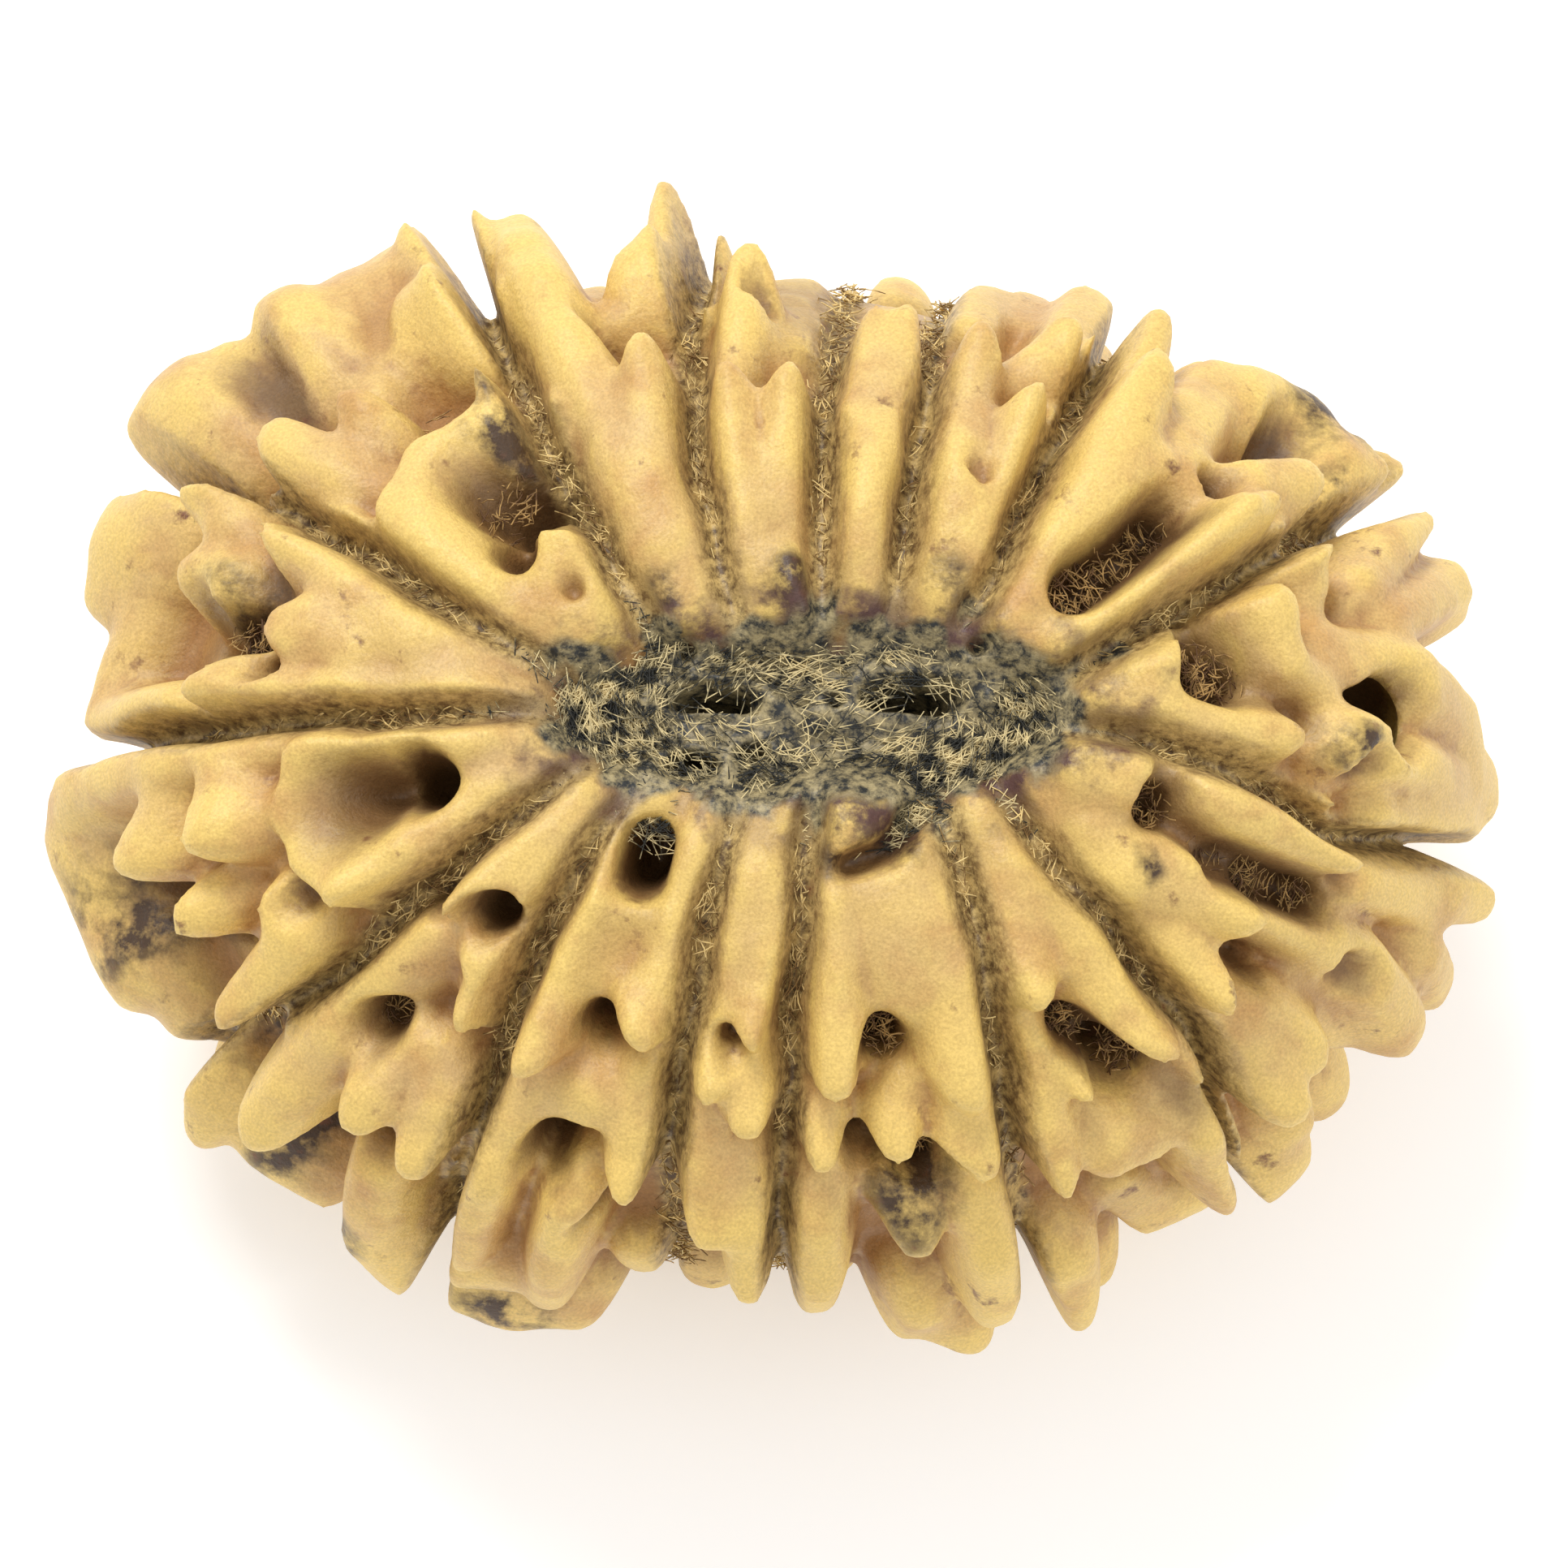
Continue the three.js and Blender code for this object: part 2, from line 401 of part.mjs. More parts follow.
// The height over the groove floor at a turn and tilt. A crest is a ridge with a rounded top, a pit is a dent,
// and the walls over the grooves cut both off.
function heightAt(turn, tilt, grooveDistance) {
    const spot = place(turn, tilt, 0);
    const fromPole = Math.min(tilt, 180 - tilt);
    const ground = between(tilt < 90 ? UPPER_GROUND : LOWER_GROUND, fromPole);
    const slope = between(FLANK_SLOPES, fromPole);
    const ridges = CRESTS.map((crest) => {
        const { distance, height } = nearness(spot, crest);
        const aside = Math.max(distance - CREST_BACK, 0);
        return height - slope * (Math.hypot(aside, crest.radius) - crest.radius);
    });
    const raised = Math.max(ground, between(CREST_LIFT, tilt) + Math.max(...ridges));
    const dents = PITS.map((pit) => {
        const { distance } = nearness(spot, pit);
        return pit.size * (1 - THREE.MathUtils.smoothstep(distance / pit.radius, PIT_FLOOR, PIT_RIM));
    });
    const wall = GROOVE_LEVEL + WALL_SLOPE * Math.max(grooveDistance - GROOVE_HALF, 0);
    return Math.min(raised - Math.max(0, ...dents), Math.max(wall, Math.min(ground, GROOVE_LEVEL)));
}

// The mesh lines from pole to pole: which rib, and the share of its width
function meshLines() {
    return RIBS.flatMap((rib, index) => {
        const width = grooveTurn(index + 1, 90) - grooveTurn(index, 90);
        const count = width > WIDE_FROM ? WIDE_LINES : NARROW_LINES;
        return Array.from({ length: count }, (_, k) => [index, k === 0 ? 0
            : THREE.MathUtils.mapLinear(k, 1, count - 1, FOOT_SHARE, 1 - FOOT_SHARE)]);
    });
}

function rowTilt(row) {
    const waist = UPPER_ROWS;
    return row <= waist
        ? THREE.MathUtils.mapLinear(row, 1, waist, CAP_TILT, WAIST_TILT)
        : THREE.MathUtils.mapLinear(row, waist, waist + LOWER_ROWS, WAIST_TILT, 180 - CAP_TILT);
}

// A sphere's mesh is moved to the bead's surface: its columns follow the ribs from pole to pole
function surfaceGeometry() {
    const lines = meshLines();
    const lastRow = UPPER_ROWS + LOWER_ROWS + 1;
    const geometry = new THREE.SphereGeometry(1, lines.length, lastRow);
    const corners = geometry.getAttribute('position');
    for (let k = 0; k < corners.count; k += 1) {
        const row = Math.floor(k / (lines.length + 1));
        const [rib, share] = lines[(k % (lines.length + 1)) % lines.length];
        const tilt = rowTilt(row);
        const turns = [grooveTurn(rib, tilt), grooveTurn(rib + 1, tilt)];
        const turn = THREE.MathUtils.lerp(...turns, share);
        const grooves = turns.map((value) => place(value, tilt, 0).distanceTo(place(turn, tilt, 0)));
        const spot = place(turn, tilt, heightAt(turn, tilt, Math.min(...grooves)));
        if (row === 0) {
            spot.copy(place(90, 0, UPPER_GROUND[0][1])).setX(POLE_X);
        }
        if (row === lastRow) {
            spot.copy(place(90, 180, LOWER_GROUND[0][1])).setX(0);
        }
        corners.setXYZ(k, spot.x, spot.y, spot.z);
    }
    return geometry;
}

function poleHoleGeometry([x, y, halfX, halfY, depth]) {
    const geometry = new THREE.SphereGeometry(1, HOLE_FACES, HOLE_FACES / 2);
    return geometry.scale(halfX, halfY, depth).translate(x, y, place(90, 0, UPPER_GROUND[0][1]).z);
}

// An egg-shaped body that lies along its rib in the bead
function eggGeometry({ turn, tilt, height, along, across, inward, faces }) {
    const spot = place(turn, tilt, height);
    const outward = place(turn, tilt, height + 1).sub(spot).normalize();
    const lengthwise = place(turn, tilt + 1, height).sub(spot).normalize();
    const sideways = new THREE.Vector3().crossVectors(lengthwise, outward).normalize();
    const turned = new THREE.Matrix4().makeBasis(sideways, lengthwise, outward).setPosition(spot);
    const geometry = new THREE.SphereGeometry(1, faces, faces / 2);
    return geometry.scale(across, along, inward).applyMatrix4(turned);
}

const wasm = await Module();
wasm.setup();

function toSolid(geometry) {
    geometry.deleteAttribute('normal');
    geometry.deleteAttribute('uv');
    const merged = mergeVertices(geometry);
    const vertProperties = new Float32Array(merged.getAttribute('position').array);
    const triVerts = new Uint32Array(merged.getIndex().array);
    return new wasm.Manifold(new wasm.Mesh({ numProp: 3, vertProperties, triVerts }));
}

function toGeometry(solid) {
    const mesh = solid.getMesh();
    const geometry = new THREE.BufferGeometry();
    geometry.setAttribute('position', new THREE.BufferAttribute(mesh.vertProperties, 3));
    geometry.setIndex(new THREE.BufferAttribute(mesh.triVerts, 1));
    return geometry;
}

// Everything above the plane of the resting spot
function restBlock() {
    const size = 4 * HALF_X;
    return new THREE.BoxGeometry(size, size, size).translate(0, 0, size / 2);
}

function beadGeometry() {
    const cuts = [...[POLE_DISH, ...POLE_HOLES].map(poleHoleGeometry), eggGeometry(CHAMBER)].map(toSolid);
    const pitted = cuts.reduce((body, cut) => body.subtract(cut), toSolid(surfaceGeometry()));
    return toGeometry(pitted.intersect(toSolid(restBlock())));
}

const shellMaterial = new THREE.MeshStandardMaterial({ color: 0xd9a95f, roughness: 0.78, metalness: 0 });
const seedMaterial = new THREE.MeshStandardMaterial({ color: 0x3a1f10, roughness: 0.25, metalness: 0 });

const bead = new THREE.Mesh(beadGeometry(), shellMaterial);
bead.name = 'bead';
const seed = new THREE.Mesh(eggGeometry({ ...CHAMBER, ...SEED }), seedMaterial);
seed.name = 'seed';

const group = new THREE.Group();
group.add(bead, seed);
export default group;
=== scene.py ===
# %% [markdown]
# A fifteen mukhi rudraksha bead is the stony stone of a fruit, here flattened, oval and about thirty
# millimetres wide. Fifteen ribs run from pole to pole, and each is a net of rounded crests that end in blunt
# fingers and knobs, with pits between them. Dried fruit fibre is left in the grooves and as felt at the pole.
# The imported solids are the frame: they give the place and the size, and the pieces made here carry the look.

# %% Load the frame
import math
import random

import bmesh
import bpy
import numpy as np
from mathutils import Matrix, Vector, kdtree, noise


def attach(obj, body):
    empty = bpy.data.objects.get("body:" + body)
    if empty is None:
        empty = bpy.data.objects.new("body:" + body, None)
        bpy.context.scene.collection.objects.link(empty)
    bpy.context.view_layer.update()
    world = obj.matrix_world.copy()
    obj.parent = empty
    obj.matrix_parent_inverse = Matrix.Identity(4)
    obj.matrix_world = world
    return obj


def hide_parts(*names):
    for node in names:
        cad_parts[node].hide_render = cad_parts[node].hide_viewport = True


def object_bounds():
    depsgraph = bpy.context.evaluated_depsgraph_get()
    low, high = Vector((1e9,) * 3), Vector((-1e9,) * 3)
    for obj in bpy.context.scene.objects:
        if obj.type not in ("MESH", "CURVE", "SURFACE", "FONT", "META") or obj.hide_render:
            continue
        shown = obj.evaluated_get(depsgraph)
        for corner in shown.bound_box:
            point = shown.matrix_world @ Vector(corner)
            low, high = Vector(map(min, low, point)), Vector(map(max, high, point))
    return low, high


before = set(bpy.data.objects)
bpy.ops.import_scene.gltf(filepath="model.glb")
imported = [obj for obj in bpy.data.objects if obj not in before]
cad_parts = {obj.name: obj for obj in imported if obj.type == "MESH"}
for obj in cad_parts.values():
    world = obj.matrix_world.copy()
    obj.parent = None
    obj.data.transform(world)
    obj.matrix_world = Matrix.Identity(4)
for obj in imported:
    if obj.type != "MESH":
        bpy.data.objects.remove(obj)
cad_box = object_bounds()
print("solids:", sorted(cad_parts), "box", [[round(v * 1000, 2) for v in corner] for corner in cad_box])

# %% [markdown]
# The bead was measured in millimetres and in two angles, as a globe is: the turn round the line between the
# poles, and the tilt from the upper pole. The surface could be sculpted freely, but then no ridge would be
# where the photograph has it. Each point was picked in the photograph and turned into these angles
# with the viewing angle. The solid's driving sizes and lists are used, with other slopes because this mesh is
# finer.

# %% Driving sizes in millimetres and degrees
MM = 0.001
HALF_X = 13.6
HALF_Y = 11.2
HALF_Z = 8.8
SLOT_HALF = 4.2
POLE_X = 0.85
POLE_Y = -0.65
FLOOR_DEPTH = 1.0
REST_DEPTH = 7.75
UPPER_GROUND = [[0, -1.1], [8, -0.9], [16, -0.4], [30, 0.0], [45, -0.1], [60, -0.3], [90, -0.3]]
LOWER_GROUND = [[0, 0.3], [14, 0.25], [24, 0.15], [36, 0.1], [50, -0.1], [90, -0.3]]
CREST_LIFT = [[5, -1.3], [11, 0], [60, 0], [80, 0.5], [104, 0.5], [118, 0]]
GROOVE_HALF = 0.1
GROOVE_LEVEL = -0.15
WALL_SLOPES = [[20, 4], [45, 5], [58, 9], [90, 9]]
GROOVE_TILTS = [20, 55, 90]
GROOVES = [[-12, -15, -7.5], [22, 26, 27], [56, 56.5, 57], [72.5, 74, 73], [86.5, 84, 82], [104, 99, 92.5],
           [122, 119, 115.5], [153, 149.5, 152.5], [182.5, 181, 178.5], [217.5, 218, 210.5],
           [234, 239.5, 240.5],
           [256.5, 259.3, 262], [270.5, 270.3, 271], [296.5, 293.2, 292], [312, 314.8, 312.5]]
RIBS = [
    {"name": "east", "crests": [
        [0.45, [18, 4, 0.0], [357, 11, 0.5], [355.5, 20, 0.9], [355.5, 31, 1.1], [356, 38, 1.6]],
        [0.45, [13, 14, 0.6], [13, 21, 1.2], [3, 20, 0.8]],
        [0.4, [21.5, 39, 2.1], [15.5, 38.5, 1.6], [8, 38.5, 1.3], [3, 45, 1.0], [359, 50, 0.9]],
        [0.8, [14, 33, 0.2], [8, 44, 0.5]],
        [0.4, [23, 52, 2.3], [19.5, 50, 1.3], [12, 48, 0.7]],
        [0.4, [24, 80, 2.0], [17.5, 61, 1.4], [12, 56, 0.8]],
        [0.45, [17, 90, 1.9], [17.5, 84, 1.9], [12.5, 64, 1.5]],
        [0.7, [9, 48, 1.1], [7, 59, 1.4], [6, 64, 1.7], [3, 80, 1.5], [359.5, 84, 1.5], [359, 92, 1.9]],
        [0.5, [356, 51, 1.8], [355.8, 59, 1.8], [357, 82, 1.4]],
        [0.6, [355, 85, 1.2], [348.5, 62, 1.4]],
        [0.5, [352, 72, 1.3], [354.5, 92, 1.5]]],
     "pits": [[0.75, 2.6, [0.8, 57]], [0.35, 0.9, [353.5, 50]], [0.6, 1.2, [9, 26], [5, 30]]]},
    {"name": "fork", "crests": [
        [0.6, [50, 10, 0.2], [49, 16, 0.8], [48.5, 24, 1.2], [49, 33, 1.5], [50.5, 43, 1.9],
         [51.5, 48, 2.3]],
        [0.6, [51.5, 51, 1.3], [54.3, 60, 2.1]],
        [0.5, [47, 29, 1.2], [42, 32.5, 1.4], [43.5, 39, 1.5]],
        [0.45, [40, 10, 0.4], [33, 15, 0.8], [29.5, 22, 1.2], [29.5, 29, 1.6], [30, 36, 2.0],
         [29.5, 40, 2.3]],
        [0.4, [30, 38, 1.8], [28.5, 44.5, 2.2]],
        [0.8, [44, 44, 1.3], [45, 66, 1.2], [41.5, 70, 1.5], [37.5, 76, 1.7]],
        [0.5, [41.5, 41, 1.2], [34.5, 47, 1.5], [31, 57.5, 1.8]],
        [0.6, [32, 76, 1.7], [30, 86, 2.1], [29, 71, 1.1]],
        [0.7, [47, 78, 0.6], [40, 90, 1.6]]],
     "pits": [[0.6, 1.6, [40, 20], [38, 26], [37.5, 34]], [0.4, 1.2, [36.5, 43]], [0.6, 1.4, [37, 67]],
              [0.45, 1.2, [31, 80]]]},
    {"name": "north east", "crests": [
        [0.6, [61.5, 12, 0.2], [63.5, 16.5, 0.6], [66, 23, 1.0], [68, 28, 1.3], [70, 39, 1.3],
         [70.5, 44, 1.9]],
        [0.5, [61, 14, 0.4], [60, 22, 0.9], [59.5, 31, 1.3], [59.5, 37.5, 2.0]],
        [0.45, [65, 45, 0.9], [62, 49, 1.3], [61, 52, 1.8]],
        [0.6, [60.5, 60, 0.9], [60.5, 74, 0.9]],
        [0.6, [70, 58, 0.6], [70, 74, 0.2]],
        [0.7, [65.5, 68, 0.2], [66, 86, 0.1]]],
     "pits": [[0.3, 0.6, [64.5, 27]]]},
    {"name": "north narrow", "crests": [
        [0.7, [75, 10, 0.0], [76.5, 15.5, 0.5], [80, 20, 0.9], [81.5, 23.5, 1.2], [80, 30.5, 1.1],
         [79, 36.5, 1.2]],
        [0.4, [80.5, 37.5, 1.2], [80.7, 46, 1.5]],
        [0.4, [77.3, 38, 1.2], [76.7, 47, 1.6]],
        [0.7, [79, 56, 0.1], [78.5, 66, -0.3]]],
     "pits": []},
    {"name": "north pair", "crests": [
        [0.55, [97.5, 9, 0.0], [101, 11.5, 0.3], [100.5, 16, 0.6], [100, 22, 0.9], [99.5, 28, 1.2],
         [99.2, 34, 1.5],
         [99, 36, 1.7]],
        [0.6, [90.5, 9, 0.2], [89.5, 13, 0.6], [90, 15, 0.8], [92.5, 20, 0.5], [92, 24, 0.9],
         [89.5, 30, 1.3],
         [88.5, 35, 1.8]],
        [0.35, [96, 41, 1.0], [94.5, 47, 1.3], [93, 56, 1.8]],
        [0.8, [90.5, 47, 0.5], [89, 60, 0.1], [88, 80, -0.5]],
        [0.6, [87, 56, 0.1], [86, 66, -0.3]]],
     "pits": [[0.35, 0.9, [92.5, 50]]]},
    {"name": "north west", "crests": [
        [0.6, [110, 9, 0.0], [112, 14.5, 0.4], [112, 20.5, 0.8], [112, 26, 1.0], [112, 33, 1.2]],
        [0.5, [112.5, 38, 1.2], [113, 48, 1.6], [113, 57, 2.0], [113, 64, 2.2], [112.7, 72, 2.1]],
        [0.5, [109.5, 28.5, 1.1], [107, 35.5, 1.4], [105.3, 40.5, 1.9]],
        [0.5, [107, 54, 1.0], [104, 58, 1.6], [101.3, 60, 2.1]],
        [0.5, [99.5, 64, 1.5], [98.2, 72, 2.2]],
        [0.7, [108, 72, 0.0], [107, 88, -0.2]]],
     "pits": [[0.4, 0.9, [109, 48]]]},
    {"name": "sickle", "crests": [
        [0.8, [138.5, 10, 0.0], [134.5, 16, 0.5], [130, 20, 0.9], [127.5, 22.5, 1.2]],
        [0.7, [143.5, 12, 0.1], [145, 19, 0.6], [146.5, 25, 1.0], [146, 31.5, 1.3], [141.5, 37, 1.4],
         [135, 40, 1.4],
         [128, 39.7, 1.3], [123.5, 38, 1.1]],
        [0.45, [125, 41, 1.4], [122.8, 44.5, 2.2]],
        [0.5, [140.5, 43.5, 0.9], [143, 49.5, 1.4], [144.3, 57.5, 2.0]],
        [0.45, [139.5, 50, 1.2], [136.5, 53, 1.8]],
        [0.6, [132.5, 61.5, 1.0], [132, 70, 1.9], [134, 71, 1.8]],
        [0.5, [129.5, 64, 1.1], [124, 66, 1.9], [120.5, 64, 2.7]],
        [0.7, [138, 76, 2.3], [133.5, 76, 2.8], [128.5, 77, 2.3], [122, 77, 2.2], [118.8, 77, 3.2]],
        [0.7, [140.5, 80, 2.6], [143.5, 82, 2.9], [147, 84, 2.8], [149, 84, 2.4]]],
     "pits": [[0.8, 1.6, [127.5, 30]], [0.8, 1.0, [132, 33]], [0.5, 1.2, [135.5, 24.5]],
              [0.4, 1.2, [130, 48]],
              [0.7, 1.0, [139, 68]], [0.3, 0.6, [132.5, 17]]]},
    {"name": "arrow", "crests": [
        [0.6, [172, 16, 0.2], [165, 22, 0.5], [161, 26, 0.8], [156, 36.5, 1.2], [153.3, 45, 1.8],
         [153.7, 48, 2.0]],
        [0.5, [176, 16, 0.2], [179.5, 24, 0.6], [179.5, 33, 1.1], [179, 43, 1.5], [178.3, 51, 1.9]],
        [1.1, [170, 22, 0.5], [168.5, 32, 0.8]],
        [0.5, [168, 32.5, 1.0], [165, 38, 1.3], [167.5, 40.5, 1.5]],
        [0.5, [157.5, 54, 1.0], [154.5, 60, 1.6], [153.3, 63, 2.2]],
        [0.7, [162.5, 51.5, 1.3], [161.5, 59.5, 1.5]],
        [0.5, [175, 45, 1.2], [171.5, 52, 1.3]],
        [0.8, [153.5, 80, 1.9], [157, 84, 2.1], [161, 88, 1.9]],
        [0.6, [164.5, 82, 1.0], [170.5, 84, 1.0], [174, 84, 1.1]],
        [0.5, [178, 60, 1.4], [175.5, 88, 1.0]]],
     "pits": [[0.55, 2.0, [167, 46.5], [168.5, 51]], [0.35, 1.0, [173.5, 42]]]},
    {"name": "crescent", "crests": [
        [0.7, [202, 8, 0.0], [190, 11, 0.4], [187, 17.5, 0.9], [187, 22.5, 1.1]],
        [0.6, [206, 10, 0.0], [212, 20, 0.6], [212.5, 27.5, 0.9], [212.3, 34, 1.4], [213, 39, 2.1]],
        [0.5, [185.7, 28, 1.2], [185.2, 32, 1.4], [190, 37.5, 1.4], [197, 41, 1.4], [204, 41.3, 1.5],
         [210, 39.6, 1.8]],
        [0.6, [184.5, 44.5, 1.2], [183.3, 51, 1.5], [184.6, 58.5, 1.6], [183, 80, 1.6], [184.5, 88, 1.9]],
        [0.45, [188.8, 51, 1.6], [195.5, 52.2, 2.2]],
        [0.4, [189, 61.5, 1.6], [194, 65.5, 2.2]],
        [0.4, [203, 54.5, 1.0], [202, 60.5, 1.4], [202.6, 61.5, 2.1]],
        [0.5, [208.3, 50, 1.5], [211.7, 52.5, 1.4], [213, 59, 1.6], [214, 64, 2.1]],
        [0.8, [188, 92, 2.0], [195, 92, 1.6], [200.5, 92, 1.6], [205.5, 92, 1.0]]],
     "pits": [[1.1, 0.9, [199, 33]], [0.65, 2.4, [200, 25]], [0.7, 1.8, [195, 78], [202, 71]],
              [0.4, 0.9, [208, 45.5]]]},
    {"name": "south west", "crests": [
        [0.65, [224, 10, 0.0], [223.3, 16, 0.5], [223, 24, 0.9], [222.5, 31.4, 1.6]],
        [0.55, [227.5, 14, 0.0], [230, 20, 0.5], [232.8, 27, 0.9], [233.3, 33, 1.2], [231.7, 37, 1.3]],
        [0.45, [234.3, 34, 1.2], [235, 40.5, 1.5], [235.8, 44.5, 2.0]],
        [0.55, [223, 38.7, 0.9], [221.7, 48, 1.0], [222.3, 58, 1.3], [222.5, 69.4, 1.8],
         [222.5, 74.5, 2.1]],
        [0.6, [225.5, 41, 0.6], [224.5, 45, 0.7]],
        [0.4, [224, 60, 0.9], [224.7, 64.3, 1.3]],
        [0.45, [229, 54, 1.2], [229.6, 61.5, 1.9], [229.7, 62.5, 2.1]],
        [0.45, [232.7, 53.6, 1.2], [235.5, 59, 1.6], [236.5, 64, 2.2]],
        [0.6, [213, 94, 1.6], [215, 98, 2.0]],
        [0.6, [221, 98, 1.4], [227, 100, 1.2]],
        [0.6, [233, 74, 1.3], [234.5, 92, 1.5], [237.8, 103, 2.0]]],
     "pits": [[0.5, 2.2, [228.2, 31]], [0.55, 1.3, [225.8, 52]], [0.4, 1.3, [226.2, 75]],
              [0.45, 1.3, [232, 69]]]},
    {"name": "keyhole", "crests": [
        [0.5, [238, 11, 0.0], [237.3, 19, 0.4], [238, 26, 0.8], [239.3, 35, 1.1], [240.6, 42.4, 1.7],
         [241, 44.3, 2.0]],
        [0.5, [251.3, 11, 0.0], [253, 18, 0.4], [254.2, 26.4, 0.8], [254.3, 33.7, 1.2], [254, 37.7, 1.9]],
        [0.9, [246.4, 28, 0.6], [245.7, 33.4, 0.8]],
        [0.5, [243.3, 48.8, 1.0], [243, 57.3, 1.3], [243, 63.6, 1.7], [242.8, 80, 1.4]],
        [0.5, [255.2, 45.5, 1.0], [255.8, 53.5, 1.3], [256.3, 58, 1.9]],
        [0.6, [243.8, 51.9, 0.9], [249.5, 49.7, 1.0], [253.2, 50.8, 1.0]],
        [0.45, [251, 64.7, 1.6], [250.8, 76, 1.4], [250.8, 88, 1.2]],
        [0.5, [242.5, 88, 1.4], [246.9, 86, 1.1]],
        [0.55, [257.5, 80, 0.3], [258, 88, 0.1]],
        [0.8, [243, 100, 1.7], [247, 101, 1.6], [252, 101, 1.4]]],
     "pits": [[0.5, 2.4, [243, 17.5], [244.5, 21.3]], [0.45, 1.3, [247.9, 39.2]],
              [0.55, 1.3, [247.5, 58.5]],
              [0.4, 1.0, [253.5, 66]]]},
    {"name": "south narrow", "crests": [
        [0.5, [260, 12, 0.1], [259.5, 20.5, 0.5], [260, 29, 0.8], [260.3, 37, 1.1], [261, 43.4, 1.8]],
        [0.5, [268.3, 12, 0.1], [267.2, 21, 0.5], [267.2, 30, 0.9], [267.2, 37, 1.7]],
        [0.7, [263, 20, 0.5], [262.8, 27, 0.7]],
        [0.4, [265.7, 42.3, 1.2], [266.5, 47.5, 1.9]],
        [0.45, [262.3, 49.3, 1.2], [263, 56.7, 1.4], [264, 63.5, 1.8]],
        [0.4, [265.8, 54.7, 1.2], [267.2, 63, 1.6], [268, 72, 1.7]],
        [0.45, [268, 76, 0.6], [268.6, 90, 0.3]]],
     "pits": [[0.35, 0.9, [263.3, 37.7]]]},
    {"name": "shield", "crests": [
        [0.6, [284, 9, 0.4], [275.5, 9.5, 0.6], [275.5, 13.7, 0.9]],
        [0.5, [274, 23.6, 0.9], [274, 31.6, 1.2], [275, 41.6, 1.9]],
        [0.6, [289.5, 18.5, 0.3], [290.4, 26.4, 0.7], [290.7, 35.3, 1.0], [290, 46, 1.8]],
        [1.0, [283.3, 20.6, 0.6], [284.3, 28, 0.8], [284.6, 33, 0.9]],
        [0.4, [274.5, 48.4, 1.0], [273.8, 52.5, 1.7]],
        [0.4, [283.1, 46.6, 0.9], [281.4, 52, 1.6]],
        [0.6, [288.7, 51, 1.4], [288.7, 56.5, 1.9]],
        [0.45, [275.3, 56.5, 1.1], [273.8, 63.6, 1.5], [273.8, 72, 1.7]],
        [0.5, [280.6, 61.7, 1.1], [282.7, 67.3, 1.5]],
        [0.5, [288.3, 64.5, 1.4], [289, 73, 1.7], [288.7, 88, 1.5]],
        [0.45, [274, 78, 0.8], [273.8, 96, 0.5]],
        [0.6, [283, 92, 1.2], [282.4, 101, 1.3], [286, 102, 1.9]]],
     "pits": [[0.5, 1.8, [280.5, 39]], [0.3, 0.9, [278, 18], [285, 17], [291, 13.5]],
              [0.4, 1.4, [277.8, 52.7]], [0.45, 1.4, [283, 57]]]},
    {"name": "south east", "crests": [
        [0.5, [303.2, 17, 0.2], [303, 23, 0.5], [301, 30, 0.9], [298.7, 36.4, 1.7]],
        [0.6, [304.7, 15.5, 0.1], [307.7, 24.7, 0.6], [309.3, 33.7, 0.9], [310.3, 42.6, 1.2],
         [310.8, 50, 1.9]],
        [0.5, [306.5, 27.6, 0.6], [307.3, 36, 0.9], [307.8, 43.4, 1.2], [307.4, 48, 1.8]],
        [0.8, [303.5, 30, 0.5], [303.5, 36, 0.5]],
        [0.45, [297, 41.5, 0.9], [297, 52, 1.2], [296.5, 58.2, 1.5], [295.7, 62.6, 1.9]],
        [0.35, [300.4, 48.7, 1.2], [301.1, 51.2, 1.7]],
        [0.5, [299.8, 57.4, 1.0], [301.2, 63.5, 1.5], [306, 66, 1.4]],
        [0.5, [311, 57, 1.2], [311, 61, 1.4], [311, 68.7, 1.7], [311.3, 86, 1.5]],
        [0.7, [295.5, 88, 1.2], [294.6, 102, 2.1]],
        [0.7, [302.6, 84, 0.1], [306, 98, 0.8], [310, 100, 1.0]]],
     "pits": [[0.5, 1.6, [303, 45], [307.5, 54]]]},
    {"name": "lozenge", "crests": [
        [0.6, [322.3, 13.3, 0.2], [331.3, 15.7, 0.7], [334.2, 19.8, 1.1]],
        [0.6, [318, 15.8, 0.3], [318.5, 23.7, 0.8], [318.4, 29.4, 1.3]],
        [0.7, [320, 30, 1.0], [325.6, 35.8, 1.1], [328.2, 43, 1.7]],
        [0.45, [318.7, 36, 0.9], [318.7, 44, 1.3], [317.7, 49.7, 2.0]],
        [0.5, [318.8, 53, 1.0], [319.6, 64, 1.4], [318.5, 70.3, 2.1]],
        [0.5, [341.4, 28.5, 1.1], [337.5, 31.7, 1.1], [335.5, 40, 1.2], [339.4, 49.6, 1.2]],
        [0.5, [342.5, 28, 1.2], [343.3, 35, 1.4], [342.7, 44.4, 1.4], [342.7, 52.8, 1.9]],
        [0.7, [340, 36, 1.2], [340, 45, 1.2]],
        [0.6, [331.3, 48.5, 1.0], [333.1, 60, 1.2], [333.7, 70.6, 1.5], [333.1, 86, 1.7]],
        [0.5, [339.3, 57, 1.2], [344.5, 80, 1.2], [346, 84, 1.5], [348.3, 91, 2.1]],
        [0.45, [322.7, 58, 1.2], [323.5, 69.3, 1.7]],
        [0.5, [327.5, 62, 0.8], [329, 82, 0.6]],
        [0.6, [320, 92, 1.2], [318, 98, 1.7], [315.3, 100, 1.8]],
        [0.5, [340, 84, 1.5], [340, 97, 1.9]]],
